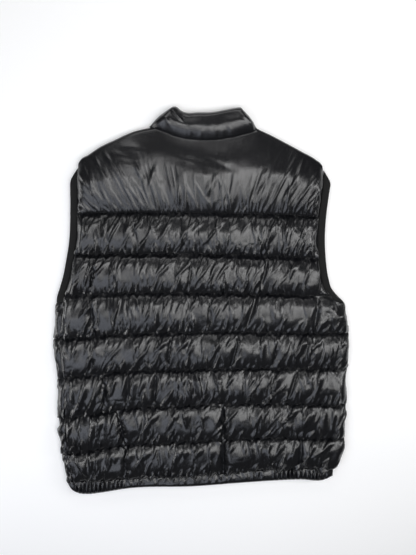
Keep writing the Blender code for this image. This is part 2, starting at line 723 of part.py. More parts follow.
def hem_panel(name, side):
    """A piece of the hem band: side is 0 for the back, -1 and 1 for the fronts."""
    left_edge, right_edge = (float(e(HEM_MIDDLE_Y)) for e in (outline_left, outline_right))
    left = left_edge + FOLD_REACH if side <= 0 else zip_edge(1)
    right = right_edge - FOLD_REACH if side >= 0 else zip_edge(-1)
    if side == 0:
        x = hem_columns(left, right)
        body_x = back_row_x(0)
    else:
        x = np.linspace(left, right, FRONT_COLUMNS)
        body_x = np.sort(front_row_x(0, side))
    top = np.interp(x, body_x, quilt_lines[0](body_x)) - SEAM_GAP
    sign = 1 if side == 0 else -1
    meeting = MID_LEVEL + sign * SEAM_GAP / 2
    inside = BACK_INSIDE if side == 0 else FRONT_INSIDE
    outer, inner = [], []
    for up, thick in HEM_ROWS:
        wave = gathers(x) * GATHER_DEPTH * math.sin(math.pi * (0.12 + 0.76 * up)) if side == 0 else 0.0
        low = hem_edge(x)
        y = low + (top - low) * up
        wall = np.full_like(x, thick) + wave * min(1.0, thick / HEM_THICKNESS)
        turn = RISING_ANGLES[-2::-1]
        turn = np.append(turn, 0.0)
        pieces = [(x, y, inside + sign * wall, x, np.full_like(x, inside))]
        for end, index in ((-1, 0), (1, -1)):
            if side != 0 and end != side:
                continue
            fold_x = x[index] + end * FOLD_REACH * np.cos(turn)
            fold_low = hem_edge(fold_x)
            fold_top = quilt_lines[0](np.clip(fold_x, -283, 283)) - SEAM_GAP
            fold_top = top[index] + (fold_top - fold_top[0]) - 0.4
            fold_y = fold_low + (fold_top - fold_low) * up
            fold_z = meeting + (inside + sign * wall[index] - meeting) * np.sin(turn)
            fold_inside = x[index] + end * (FOLD_REACH - RIM_INSET) * np.cos(turn)
            fold_piece = (fold_x, fold_y, fold_z, fold_inside, np.full(len(turn), inside))
            if end < 0:
                pieces.insert(0, tuple(part[::-1] for part in fold_piece))
            else:
                pieces.append(fold_piece)
        columns = [np.concatenate(part) for part in zip(*pieces)]
        outer.append(grid_points(columns[0], columns[1], columns[2]))
        inner.append(grid_points(columns[3], columns[1], columns[4]))
    return wall_object(name, np.array(outer), np.array(inner))


def box(bm, x, y, z):
    """A box between two values on each axis."""
    made = bmesh.ops.create_cube(bm, size=1.0)
    for vert in made["verts"]:
        for axis, (low, high) in enumerate((x, y, z)):
            vert.co[axis] = ((low + high) / 2 + vert.co[axis] * (high - low)) * MM
    return made["verts"]


def box_object(name, x, y, z):
    bm = bmesh.new()
    box(bm, x, y, z)
    mesh = bpy.data.meshes.new(name)
    bm.to_mesh(mesh)
    bm.free()
    return add_object(name, mesh)


def zip_tape(name, side):
    inside = ZIP_X + side * (CHAIN_WIDTH / 2 + SEAM_GAP)
    outside = zip_edge(side) - side * SEAM_GAP
    return box_object(name, sorted((inside, outside)), (ZIP_BOTTOM_Y, ZIP_TOP_Y), TAPE_LEVELS)


def joined(name, base, others, operation="UNION"):
    """The base with the other objects joined on or cut away, as one mesh."""
    for other in others:
        tool = base.modifiers.new("tool", "BOOLEAN")
        tool.object = other
        tool.operation = operation
        tool.solver = "EXACT"
    bpy.context.view_layer.update()
    evaluated = base.evaluated_get(bpy.context.evaluated_depsgraph_get())
    mesh = bpy.data.meshes.new_from_object(evaluated)
    mesh.name = name
    base.modifiers.clear()
    base.data = mesh
    for other in others:
        bpy.data.objects.remove(other)
    return base


def rod(name, radius, x, y, z, sides=16):
    """A rod along X between two values of x."""
    bm = bmesh.new()
    bmesh.ops.create_cone(
        bm, cap_ends=True, segments=sides, radius1=radius * MM, radius2=radius * MM, depth=(x[1] - x[0]) * MM)
    mesh = bpy.data.meshes.new(name)
    bm.to_mesh(mesh)
    bm.free()
    obj = add_object(name, mesh)
    obj.rotation_euler = (0.0, math.pi / 2, 0.0)
    obj.location = (sum(x) / 2 * MM, y * MM, z * MM)
    return obj


def zip_slider():
    """The slider at the top of the closed zip, with a bored lug underneath for the pull."""
    half_stem = CHAIN_WIDTH / 2
    slider = box_object(
        "zip_slider", (ZIP_X - SLIDER_WIDTH / 2, ZIP_X + SLIDER_WIDTH / 2), SLIDER_Y, PLATE_LEVELS)
    stem = box_object(
        "stem", (ZIP_X - half_stem, ZIP_X + half_stem), SLIDER_Y, (PLATE_LEVELS[1] - 0.5, TAPE_LEVELS[1]))
    lug_y = (PULL_PIVOT[0] - LUG_HALF_LENGTH, PULL_PIVOT[0] + LUG_HALF_LENGTH)
    lug = box_object(
        "lug", (ZIP_X - LUG_WIDTH / 2, ZIP_X + LUG_WIDTH / 2), lug_y, (LUG_BOTTOM, PLATE_LEVELS[0] + 0.5))
    joined("zip_slider", slider, [stem, lug])
    bore = rod("bore", BORE_RADIUS, (ZIP_X - LUG_WIDTH, ZIP_X + LUG_WIDTH), *PULL_PIVOT)
    return joined("zip_slider", slider, [bore], "DIFFERENCE")


def zip_pull():
    """The pull tab: a plate and two arms that hold the pin in the slider's lug.  Its origin is on the pin."""
    pivot_y, pivot_z = PULL_PIVOT
    levels = (pivot_z - PULL_THICKNESS / 2, pivot_z + PULL_THICKNESS / 2)
    arm_end = pivot_y + PULL_THICKNESS / 2
    plate_top = pivot_y - LUG_HALF_LENGTH - PULL_CLEARANCE
    half = PULL_WIDTH / 2
    pull = box_object(
        "zip_pull", (ZIP_X - half, ZIP_X + half), (pivot_y - PULL_LENGTH, plate_top), levels)
    arms = []
    for side in (-1, 1):
        arm_x = sorted((ZIP_X + side * half, ZIP_X + side * (half - ARM_WIDTH)))
        arms.append(box_object("arm", arm_x, (plate_top - 0.5, arm_end), levels))
    pin = rod("pin", PIN_RADIUS, (ZIP_X - half + 0.4, ZIP_X + half - 0.4), pivot_y, pivot_z, 12)
    joined("zip_pull", pull, arms + [pin])
    pivot = (ZIP_X * MM, pivot_y * MM, pivot_z * MM)
    pull.data.transform(pull.matrix_world)
    for vert in pull.data.vertices:
        vert.co -= type(vert.co)(pivot)
    pull.matrix_world.identity()
    pull.location = pivot
    return pull


vest = bpy.data.collections.new("puffer_vest")
bpy.context.scene.collection.children.link(vest)

nylon = cloth_material("black_nylon", (0.012, 0.012, 0.014), 0.32)
elastic = cloth_material("black_elastic", (0.010, 0.010, 0.010), 0.75)
tape = cloth_material("black_tape", (0.009, 0.009, 0.010), 0.7)
coil = cloth_material("black_plastic", (0.015, 0.015, 0.016), 0.35)
metal = cloth_material("blackened_metal", (0.05, 0.05, 0.052), 0.3, 1.0)

chain_x = (ZIP_X - CHAIN_WIDTH / 2, ZIP_X + CHAIN_WIDTH / 2)
chain_y = (ZIP_BOTTOM_Y + 2.0, SLIDER_Y[0] - SEAM_GAP)
pieces = [
    (back_panel(), nylon),
    (front_panel("front_left", -1), nylon),
    (front_panel("front_right", 1), nylon),
    (collar(), nylon),
    (hem_panel("hem_back", 0), nylon),
    (hem_panel("hem_front_left", -1), nylon),
    (hem_panel("hem_front_right", 1), nylon),
    (binding("armhole_binding_left", -1), elastic),
    (binding("armhole_binding_right", 1), elastic),
    (zip_tape("zip_tape_left", -1), tape),
    (zip_tape("zip_tape_right", 1), tape),
    (box_object("zip_chain", chain_x, chain_y, CHAIN_LEVELS), coil),
    (zip_slider(), metal),
    (zip_pull(), metal),
]
for piece, material in pieces:
    piece.data.materials.clear()
    piece.data.materials.append(material)
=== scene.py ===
import math
import bpy
import bmesh
import numpy as np
from mathutils import Matrix, Vector


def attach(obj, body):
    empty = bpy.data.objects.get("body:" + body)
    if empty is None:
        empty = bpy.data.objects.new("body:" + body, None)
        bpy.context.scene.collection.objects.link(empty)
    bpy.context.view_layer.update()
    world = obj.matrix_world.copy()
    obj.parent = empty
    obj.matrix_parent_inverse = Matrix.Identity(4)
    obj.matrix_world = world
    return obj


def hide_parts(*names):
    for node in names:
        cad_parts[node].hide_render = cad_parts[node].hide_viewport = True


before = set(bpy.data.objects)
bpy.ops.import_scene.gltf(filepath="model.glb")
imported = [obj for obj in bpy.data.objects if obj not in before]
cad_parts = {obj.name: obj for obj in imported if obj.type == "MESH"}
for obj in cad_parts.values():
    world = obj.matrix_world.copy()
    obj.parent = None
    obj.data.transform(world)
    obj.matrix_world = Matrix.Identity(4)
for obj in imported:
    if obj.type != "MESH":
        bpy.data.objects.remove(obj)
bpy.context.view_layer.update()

mm = 0.001  # the tables below are in millimetres, the meshes in metres

# the cut of the whole vest, lying on its fronts with the back up and the collar towards +Y
vest = {
    "midLevel": 13.0,        # where front and back lie on each other
    "inside": 13.3,          # underside of the back's wall
    "seamGap": 0.3,
    "bindingWidth": 13.0,
    "bindingThickness": 4.0,
    "bindingTop": 265.0,
    "leftSeamInset": 15.0,   # the left front wraps round the fold to here
    "foldReach": 16.0,       # the side folds are rounded over this width
    "underarmRow": 4.85,     # in channels up from the hem band
    "armFade": 0.35,         # the walls thin towards the underarm over this many channels
    "underarmY": 18.0,
    "stitchWall": 3.0, "boundWall": 3.6, "sideSeamWall": 13.5,
    "channelWall": 17.0, "yokeWall": 18.8, "frontWall": 15.7,
    "fullness": 0.46,
    "crest": 0.42,           # the down sags, so a channel is fullest below its middle
    "yokeCrest": 0.5,
    "archFall": 2.1, "slopeFall": 1.5,   # powers: how round the upper half of a channel and of the yoke is
    "edgeWidth": 12.0,
    "channelTall": 79.0, "yokeTall": 152.0,
    "zipX": 8.0, "zipHalf": 8.0,
    "neckX": (-80, 103),
    "thinEdge": 0.25,        # wall of a cut edge that another piece covers
    "edgeLift": 0.15,        # a rounded edge ends this far from the inside's level
    "edgeReach": 0.2,        # and under the binding it stands out this far
    "neckFade": 3.0,         # the neckline's wall fades in over this width
    # y, left, right
    "sides": [
        (-346, -271, 267), (-330, -274.5, 272.5), (-306, -277.5, 280), (-264, -281, 286),
        (-221, -282, 286), (-179, -282, 286.5), (-137, -281, 284.5), (-105, -283, 286.5),
        (-76, -285, 286.5), (-36, -282, 285), (-4, -279, 279), (18, -276, 274.5)],
    # y, left, right
    "armholes": [
        (18, -276, 274.5), (31, -273.5, 261), (45, -268.5, 249.5), (62, -262.8, 243.6), (100, -253.5, 236.6),
        (139, -246, 233.3), (176, -242.8, 233.8), (214, -241, 237), (232, -240.5, 239), (250, -240, 240),
        (262, -238.5, 238.5), (300, -234, 234)],
    # y of each quilting line at five places x
    "quiltX": (-280, -150, 0, 150, 280),
    "quiltLines": [
        (-356, -347, -340, -326.5, -325), (-296, -274.5, -265, -259.5, -259),
        (-219, -198.5, -189.5, -187, -189), (-136, -120, -116, -114.5, -113.5), (-55, -46.5, -41, -42, -43),
        (30, 35, 36, 33, 28), (110, 111, 110.5, 106, 97), (185.5, 188, 187.5, 184.5, 177)],
    # x, y of the shoulders and the back of the neck
    "topEdge": [
        (-242, 250), (-229, 269), (-220, 285), (-205, 294.5), (-186, 307), (-155, 321.5), (-122, 335.5),
        (-80, 344.5), (-37, 328.7), (0, 324.3), (36, 325.2), (72, 332.3), (103, 341), (130, 328.7),
        (158, 314.6), (185.5, 300.3), (211.5, 286), (222.5, 277), (230, 264), (242, 246)],
    # x, y of the neckline of the fronts
    "frontNeck": [
        (-80, 344.5), (-72, 312), (-52, 286), (-22, 268), (8, 262), (40, 268), (72, 285), (94, 310),
        (103, 341)],
    # x, y of the hem's lower edge
    "hemEdge": [
        (-271, -358), (-264, -371), (-252, -379.5), (-230, -383), (-205, -380), (-150, -370.5), (-12, -365.5),
        (80, -358), (140, -353.5), (200, -350.5), (252, -350), (264, -344)],
}
yoke = len(vest["quiltLines"]) - 1


def smoothCurve(points):
    # cubic pieces through the points, with the slopes of their neighbours
    at, value = (np.array(column, float) for column in zip(*points))
    slope = np.gradient(value, at)

    def curve(x):
        x = np.clip(x, at[0], at[-1])
        here = np.clip(np.searchsorted(at, x) - 1, 0, len(at) - 2)
        after = here + 1
        span = at[after] - at[here]
        part = (x - at[here]) / span
        rest = 1 - part
        return (value[here] * (1 + 2 * part) * rest ** 2 + slope[here] * span * part * rest ** 2
                + value[after] * part * part * (3 - 2 * part)
                + slope[after] * span * part * part * (part - 1))
    return curve


def brokenCurve(points, corners):
    # the same, with a corner kept at the named x
    cuts = [0] + [k for k, point in enumerate(points) if point[0] in corners] + [len(points) - 1]
    parts = [smoothCurve(points[first:last + 1]) for first, last in zip(cuts[:-1], cuts[1:])]
    edges = [points[cut][0] for cut in cuts[1:-1]]

    def curve(x):
        x = np.asarray(x, float)
        index = np.searchsorted(edges, x)
        return np.select([index == k for k in range(len(parts))], [part(x) for part in parts])
    return curve


def cloudNoise(u, v, seed):
    # random values on a grid, blended smoothly between its corners: -1 to 1
    # u and v are places over a cloud's size, so x / 26 gives clouds 26 mm wide; the seed picks the pattern
    size = 256
    values = np.random.default_rng(seed).uniform(-1, 1, (size, size))
    column, row = np.floor(u).astype(int), np.floor(v).astype(int)
    east, north = u - column, v - row
    east, north = east * east * (3 - 2 * east), north * north * (3 - 2 * north)
    left, right, low, high = column % size, (column + 1) % size, row % size, (row + 1) % size
    return ((values[low, left] * (1 - east) + values[low, right] * east) * (1 - north)
            + (values[high, left] * (1 - east) + values[high, right] * east) * north)


def clouds(way, up, layers, seedShift=0):
    # noise in layers, each with its strength, a cloud's width in mm, clouds to one of up, start and seed:
    # the sum of strength x noise at (way / width, up x often + start)
    total = 0
    for strength, width, often, start, seed in layers:
        total = total + strength * cloudNoise(way / width, up * often + start, seed + seedShift)
    return total


# how far the folds differ from one another: factors of pitch, length and height, and the bow along a fold
foldSpread = {"pitch": (0.45, 1.55), "length": (0.6, 1), "height": (0.6, 1.25), "bow": (-0.25, 0.25)}


def foldsFrom(x, away, span, rule, seed):
    # overlapping folds, each rooted on a seam and tapering to a point; away is the distance from that seam
    # height = tall x a tent across the fold x (1 - share of its length) ** 0.55; one flank of the tent is
    # steep, the other gentle, and where folds meet the higher one shows
    draw = np.random.default_rng(seed)
    height = np.zeros_like(x)
    root = span[0]
    while root < span[1]:
        root += rule["pitch"] * draw.uniform(*foldSpread["pitch"])
        length = draw.uniform(*rule["length"]) * draw.uniform(*foldSpread["length"])
        wide = draw.uniform(*rule["width"])
        lean = draw.normal(rule["lean"] + rule["fan"] * root / 100, rule["leanSpread"])
        bow = draw.uniform(*foldSpread["bow"])
        tall = rule["height"] * wide * draw.uniform(*foldSpread["height"])
        flip = 1 if draw.uniform() < rule["sameWay"] else -1
        along = np.clip(away / length, 0, 1)
        off = flip * (x - root - lean * away - bow * away * along)
        reach = wide * (1 - along) ** 0.75 + 0.3
        profile = np.clip(np.minimum(1 + off / (rule["steep"] * reach + 0.6), 1 - off / reach), 0, 1)
        fold = tall * profile * (1 - along) ** 0.55 * np.clip(away / rule["rootRise"], rule["rootShare"], 1)
        height = np.maximum(height, np.where(away < length, fold, 0))
    return height


sideLeft = smoothCurve([(y, left) for y, left, right in vest["sides"]])
sideRight = smoothCurve([(y, right) for y, left, right in vest["sides"]])
armLeft = smoothCurve([(y, left) for y, left, right in vest["armholes"]])
armRight = smoothCurve([(y, right) for y, left, right in vest["armholes"]])
topEdge = brokenCurve(vest["topEdge"], vest["neckX"])
frontNeck = smoothCurve(vest["frontNeck"])
hemEdge = smoothCurve(vest["hemEdge"])
quiltLines = [smoothCurve(list(zip(vest["quiltX"], line))) for line in vest["quiltLines"]]


def frontTop(x):
    return np.where((x > vest["neckX"][0]) & (x < vest["neckX"][1]), frontNeck(x), topEdge(x))


def outline(y, side):
    below, above = (sideLeft, armLeft) if side < 0 else (sideRight, armRight)
    return np.where(y < vest["underarmY"], below(y), above(y))


def rowY(channel, x, top=topEdge):
    # a place given in channels lies between two quilting lines, in proportion
    lines = np.array([line(x) for line in quiltLines] + [top(x)])
    below = np.clip(np.floor(channel), 0, yoke).astype(int)
    low = np.take_along_axis(lines, below[None], 0)[0]
    high = np.take_along_axis(lines, below[None] + 1, 0)[0]
    return low + (high - low) * (channel - below)


def settledEdge(channel, side, inset):
    # x of a row's end: the outline is given by y, and the row's y depends on x, so it is found in rounds
    x = np.full(channel.shape, 240.0 * side)
    for _ in range(8):
        x = outline(rowY(channel, x), side) - side * inset
    return x


def channelRows(step):
    # evenly spaced rows, with one on each quilting line and one at the underarm
    count = round(vest["channelTall"] / step)
    rows = [number + np.arange(count) / count for number in range(yoke)]
    rows = np.concatenate(rows + [yoke + np.linspace(0, 1, round(vest["yokeTall"] / step))])
    rows[np.abs(rows - vest["underarmRow"]).argmin()] = vest["underarmRow"]
    return rows


def edgeRise(distance, width):
    # 0 on a sewn edge and 1 once the down is clear of it: sin(quarter turn x share of the width) ** 0.7
    return np.sin(np.pi / 2 * np.clip(distance / width, 0, 1)) ** 0.7


def padding(channel, crown, yokeCrown):
    # wall thickness across the channels: an arch between two quilting lines, a longer slope on the yoke
    # up to the crest sin(quarter turn x share) ** fullness, from there on 1 - share ** a power
    part = channel - np.minimum(np.floor(channel), yoke)
    crest = np.where(channel >= yoke, vest["yokeCrest"], vest["crest"])
    rise = np.sin(np.pi / 2 * np.clip(part / crest, 0, 1)) ** vest["fullness"]
    fall = np.clip((part - crest) / (1 - crest), 0, 1)
    arch = np.where(part < crest, rise, 1 - fall ** vest["archFall"])
    slope = np.where(part < crest, rise, 1 - fall ** vest["slopeFall"])
    low = vest["stitchWall"]
    return np.where(channel >= yoke, low + (yokeCrown - low) * slope, low + (crown - low) * arch)


def neckShare(x):
    # 1 between the corners of the neckline, fading to 0 just outside them
    inside = np.minimum(x - vest["neckX"][0], vest["neckX"][1] - x)
    return np.clip(inside / vest["neckFade"] + 1, 0, 1)


def gridMarks(channel, under, flat):
    # the share of each channel's height, the quilted rows, and the points that the sewing holds still: rows,
    # borders, and above the underarm the columns that the binding covers
    part = np.clip(channel - np.minimum(np.floor(channel), yoke), 0, 1)
    onLine = np.abs(channel - np.round(channel)) < 1e-6
    held = onLine.copy()
    held[0] = held[-1] = held[:, 0] = held[:, -1] = True
    held[~under, flat - 1:] = True
    return part, onLine, held


def wayAlong(points):
    # the distance walked along each row
    return np.cumsum(np.linalg.norm(np.diff(points, axis=1, prepend=points[:, :1]), axis=-1), axis=1)


def quiltedRows(cloth, rows):
    # the rows that lie on a quilting line, by its number
    return {round(row): cloth[k] for k, row in enumerate(rows)
            if abs(row - round(row)) < 1e-6 and row <= yoke}


def unitNormals(points):
    # the cross product of the steps to the neighbours, across and up the grid
    across = np.empty_like(points)
    across[:, 1:-1] = points[:, 2:] - points[:, :-2]
    across[:, 0] = points[:, 1] - points[:, 0]
    across[:, -1] = points[:, -1] - points[:, -2]
    along = np.empty_like(points)
    along[1:-1] = points[2:] - points[:-2]
    along[0] = points[1] - points[0]
    along[-1] = points[-1] - points[-2]
    normal = np.cross(across, along)
    return normal / (np.sqrt((normal * normal).sum(-1, keepdims=True)) + 1e-9)


def relaxCloth(start, held, looseX, looseY, lift, setting):
    # position-based cloth on a grid: every edge and diagonal is drawn to its cut length in turn, while the
    # down pushes the cloth out along its normals and the lift map says how far out it may stand
    # setting: seed is the first unevenness, push the down's pressure, carry the share of speed that stays,
    # grip how firmly the lift map holds, shear and bend the strength of the diagonals and of the stiffness
    cloth = start.astype(np.float32)
    outwards = unitNormals(cloth)
    free = np.where(held, 0.0, 1.0).astype(np.float32)[..., None]
    rows, cols = held.shape
    restX = (np.linalg.norm(cloth[:, 1:] - cloth[:, :-1], axis=-1) * (1 + looseX)).astype(np.float32)
    restY = (np.linalg.norm(cloth[1:] - cloth[:-1], axis=-1) * (1 + looseY)).astype(np.float32)
    slack = 1 + (looseX[1:] + looseX[:-1] + looseY[:, 1:] + looseY[:, :-1]) / 4
    restEast = (np.linalg.norm(cloth[1:, 1:] - cloth[:-1, :-1], axis=-1) * slack).astype(np.float32)
    restWest = (np.linalg.norm(cloth[1:, :-1] - cloth[:-1, 1:], axis=-1) * slack).astype(np.float32)
    every, west, east = slice(None), slice(0, cols - 1), slice(1, cols)
    # each link: its two ends, its length, its strength, and whether it only resists folding up
    links = []
    for odd in (0, 1):
        left, right = slice(odd, cols - 1, 2), slice(odd + 1, cols, 2)
        low, high = slice(odd, rows - 1, 2), slice(odd + 1, rows, 2)
        links.append(((every, left), (every, right), restX[:, odd::2], 1.0, False))
        links.append(((low, every), (high, every), restY[odd::2], 1.0, False))
    for odd in (0, 1):
        low, high = slice(odd, rows - 1, 2), slice(odd + 1, rows, 2)
        links.append(((low, west), (high, east), restEast[odd::2], setting["shear"], False))
        links.append(((low, east), (high, west), restWest[odd::2], setting["shear"], False))
    column, row = np.arange(cols - 2), np.arange(rows - 2)
    for pair in (0, 1):
        first = column[(column % 4) // 2 == pair]
        length = (restX[:, 1:] + restX[:, :-1])[:, first]
        links.append(((every, first), (every, first + 2), length, setting["bend"], True))
        first = row[(row % 4) // 2 == pair]
        length = (restY[1:] + restY[:-1])[first]
        links.append(((first, every), (first + 2, every), length, setting["bend"], True))
    cloth += free * (outwards * setting["seed"][..., None]).astype(np.float32)
    speed = np.zeros_like(cloth)
    for _ in range(setting["rounds"]):
        before = cloth.copy()
        cloth += free * (speed * setting["carry"] + setting["push"] * unitNormals(cloth))
        for one, two, rest, strength, opensOnly in links:
            here, there = cloth[one], cloth[two]
            gap = there - here
            length = np.sqrt((gap * gap).sum(-1, keepdims=True)) + 1e-6
            wrong = length - rest[..., None]
            wrong = np.minimum(wrong, 0) if opensOnly else wrong
            freeHere, freeThere = free[one], free[two]
            share = strength * wrong / (length * np.maximum(freeHere + freeThere, 1)) * gap
            cloth[one] = here + freeHere * share
            cloth[two] = there - freeThere * share
        out = ((cloth - start) * outwards).sum(-1) - lift
        pull = free[..., 0] * np.maximum(out, 0) * setting["grip"]
        cloth -= pull[..., None].astype(np.float32) * outwards
        speed = cloth - before
    for _ in range(setting["ironing"]):  # takes out zigzags from point to point
        mean = (cloth[1:-1, 2:] + cloth[1:-1, :-2] + cloth[2:, 1:-1] + cloth[:-2, 1:-1]) / 4
        cloth[1:-1, 1:-1] += free[1:-1, 1:-1] * 0.3 * (mean - cloth[1:-1, 1:-1])
    return cloth.astype(float)


def gridFaces(rows, cols, first=0, flip=False):
    # one quad between each four neighbours
    index = np.arange(rows * cols).reshape(rows, cols) + first
    quads = np.stack([index[:-1, :-1], index[:-1, 1:], index[1:, 1:], index[1:, :-1]], -1).reshape(-1, 4)
    return quads[:, ::-1] if flip else quads


def rimLoop(rows, cols):
    # the grid's border, once round
    index = np.arange(rows * cols).reshape(rows, cols)
    return np.concatenate([index[0, :-1], index[:-1, -1], index[-1, :0:-1], index[:0:-1, 0]])


def newPiece(name, points, faces, material):
    mesh = bpy.data.meshes.new(name)
    mesh.from_pydata((np.asarray(points, float) * mm).tolist(), [], [list(map(int, face)) for face in faces])
    mesh.validate()
    mesh.shade_smooth()
    mesh.set_sharp_from_angle(angle=math.radians(60))
    piece = bpy.data.objects.new(name, mesh)
    bpy.context.scene.collection.objects.link(piece)
    mesh.materials.append(material)
    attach(piece, "vest")
    return piece


def faceOutward(piece):
    mesh = bmesh.new()
    mesh.from_mesh(piece.data)
    bmesh.ops.recalc_face_normals(mesh, faces=mesh.faces)
    mesh.to_mesh(piece.data)
    mesh.free()


def tubeFaces(count, rings, corners):
    # the sides and both caps of many short tubes, whose points run corner by corner, ring by ring
    index = np.arange(count * rings * corners).reshape(count, rings, corners)
    low, high = index[:, :-1], index[:, 1:]
    sides = np.stack([low, np.roll(low, -1, 2), np.roll(high, -1, 2), high], -1).reshape(-1, 4)
    return [list(face) for group in (sides, index[:, 0, ::-1], index[:, -1]) for face in group]


def sharpenRows(piece, seams, shape):
    # the sewn rows are sharp valleys: their edges take no part in the smooth shading
    mesh = piece.data
    ends = np.zeros(2 * len(mesh.edges), int)
    mesh.edges.foreach_get("vertices", ends)
    ends = ends.reshape(-1, 2)
    row = ends // shape[1]
    sewn = (row[:, 0] == row[:, 1]) & np.isin(row[:, 0], seams) & (ends.max(1) < shape[0] * shape[1])
    sharp = np.zeros(len(sewn), bool)
    mesh.attributes["sharp_edge"].data.foreach_get("value", sharp)
    mesh.attributes["sharp_edge"].data.foreach_set("value", sharp | sewn)


def shellOnLevel(outer, level):
    # the wall's outside, a rim down to one level, and a plain face there
    rows, cols = outer.shape[:2]
    loop = rimLoop(rows, cols)
    points = outer.reshape(-1, 3)
    base = points[loop].copy()
    base[:, 2] = level
    ring = np.arange(len(loop)) + rows * cols
    after = np.roll(np.arange(len(loop)), -1)
    rim = np.stack([loop[after], loop, ring, ring[after]], -1)
    faces = list(gridFaces(rows, cols)) + list(rim) + [ring[::-1]]
    return np.concatenate([points, base]), faces


def shellOnGrid(outer, inner):
    # the same with an inside that is not flat
    rows, cols = outer.shape[:2]
    loop = rimLoop(rows, cols)
    after = np.roll(loop, -1)
    faces = np.concatenate([
        gridFaces(rows, cols), gridFaces(rows, cols, rows * cols, True),
        np.stack([after, loop, loop + rows * cols, after + rows * cols], -1)])
    return np.concatenate([outer.reshape(-1, 3), inner.reshape(-1, 3)]), faces


class Wire:
    # wraps a node's output, so that shader maths reads as plain arithmetic
    def __init__(self, tree, socket):
        self.tree, self.socket = tree, socket

    def maths(self, operation, other=0.0, swap=False):
        values = [other, self] if swap else [self, other]
        return addNode(self.tree, "ShaderNodeMath", {"operation": operation}, dict(enumerate(values)))

    def __add__(self, other):
        return self.maths("ADD", other)

    def __sub__(self, other):
        return self.maths("SUBTRACT", other)

    def __rsub__(self, other):
        return self.maths("SUBTRACT", other, True)

    def __mul__(self, other):
        return self.maths("MULTIPLY", other)

    def __pow__(self, other):
        return self.maths("POWER", other)

    def __abs__(self):
        return self.maths("ABSOLUTE")

    __radd__ = __add__
    __rmul__ = __mul__


def addNode(tree, kind, settings=None, inputs=None, output=0):
    # settings first, such as an operation, then the sockets' values or links
    node = tree.nodes.new(kind)
    for key, value in (settings or {}).items():
        setattr(node, key, value)
    for key, value in (inputs or {}).items():
        if isinstance(value, Wire):
            tree.links.new(value.socket, node.inputs[key])
        else:
            node.inputs[key].default_value = value
    return Wire(tree, node.outputs[output])


def newFinish(name, look):
    # a Principled surface; look holds its fixed sockets
    finish = bpy.data.materials.new(name)
    finish.use_nodes = True
    tree = finish.node_tree
    surface = tree.nodes["Principled BSDF"]
    for key, value in look.items():
        surface.inputs[key].default_value = value
    place = addNode(tree, "ShaderNodeTexCoord", output=3)  # output 3 is Object
    return finish, tree, surface, place


def feed(tree, surface, key, wire):
    tree.links.new(wire.socket, surface.inputs[key])


def scaled(tree, place, factors, turn=(0, 0, 0)):
    return addNode(tree, "ShaderNodeMapping", {}, {"Vector": place, "Scale": factors, "Rotation": turn})


def noise(tree, place, scale, detail=2.0, rough=0.5, bend=0.0):
    return addNode(tree, "ShaderNodeTexNoise", {}, {
        "Vector": place, "Scale": scale, "Detail": detail, "Roughness": rough, "Distortion": bend})


def wave(tree, place, direction, scale, bend=0.0, detail=2.0):
    return addNode(tree, "ShaderNodeTexWave", {"bands_direction": direction}, {
        "Vector": place, "Scale": scale, "Distortion": bend, "Detail": detail})


def complete(tree, surface, look, height, share, roughness):
    # relief from a height of about 0 to 1, and a colour between the dark one and the light one
    bump = addNode(tree, "ShaderNodeBump", {}, {"Height": height, "Distance": look["depth"]})
    sockets = {0: share, 6: look["dark"], 7: look["light"]}
    colour = addNode(tree, "ShaderNodeMix", {"data_type": "RGBA"}, sockets, 2)
    feed(tree, surface, "Normal", bump)
    feed(tree, surface, "Base Color", colour)
    feed(tree, surface, "Roughness", roughness)


# depths are in metres; a noise's scale is clouds to the metre, and a wave texture makes 3.2 ribs to the metre
# for each unit of its scale, or 1.6 along either side of a diagonal
nylon = {
    "dark": (0.0034, 0.0036, 0.0046, 1), "light": (0.0062, 0.0064, 0.0078, 1),
    "coat": 0.22, "coatGloss": 0.13,
    "gloss": 0.24, "glossSpread": 0.08,
    "bigCrinkle": 95, "smallCrinkle": 190, "depth": 0.0003,
    "yarns": 900.0, "weaveDepth": 0.00003, "cloud": 14,
}


def makeNylon():
    # crumple lines run up the garment: noise squeezed sideways, folded about its middle so that its valleys
    # are sharp; crinkle = 0.65 x the big folds + 0.35 x the small ones
    finish, tree, surface, place = newFinish("blackNylon", {
        "Roughness": nylon["gloss"], "IOR": 1.52,
        "Coat Weight": nylon["coat"], "Coat Roughness": nylon["coatGloss"]})
    long = scaled(tree, place, (1.0, 0.42, 0.6), (0, 0, 0.12))
    slant = scaled(tree, place, (1.0, 0.5, 0.6), (0, 0, -0.55))
    big = abs(noise(tree, long, nylon["bigCrinkle"], 2.0, 0.5, 0.3) - 0.5) * 2
    small = abs(noise(tree, slant, nylon["smallCrinkle"], 2.0, 0.55, 0.4) - 0.5) * 2
    crinkle = (big ** 0.8) * 0.65 + (small ** 0.8) * 0.35
    warp = wave(tree, place, "X", nylon["yarns"], 0.6)
    weft = wave(tree, place, "Y", nylon["yarns"], 0.6)
    weave = warp * 0.5 + weft * 0.5
    height = crinkle + weave * (nylon["weaveDepth"] / nylon["depth"])
    cloud = noise(tree, place, nylon["cloud"], 3.0, 0.55)
    roughness = (cloud - 0.5) * nylon["glossSpread"] + nylon["gloss"] + weave * 0.03
    complete(tree, surface, nylon, height, cloud, roughness)
    return finish


elastic = {
    "dark": (0.003, 0.003, 0.003, 1), "light": (0.009, 0.009, 0.009, 1),
    "gloss": 0.78, "sheen": 0.05, "sheenGloss": 0.5,
    "ribs": 310.0, "fuzz": 900, "depth": 0.0003,
}


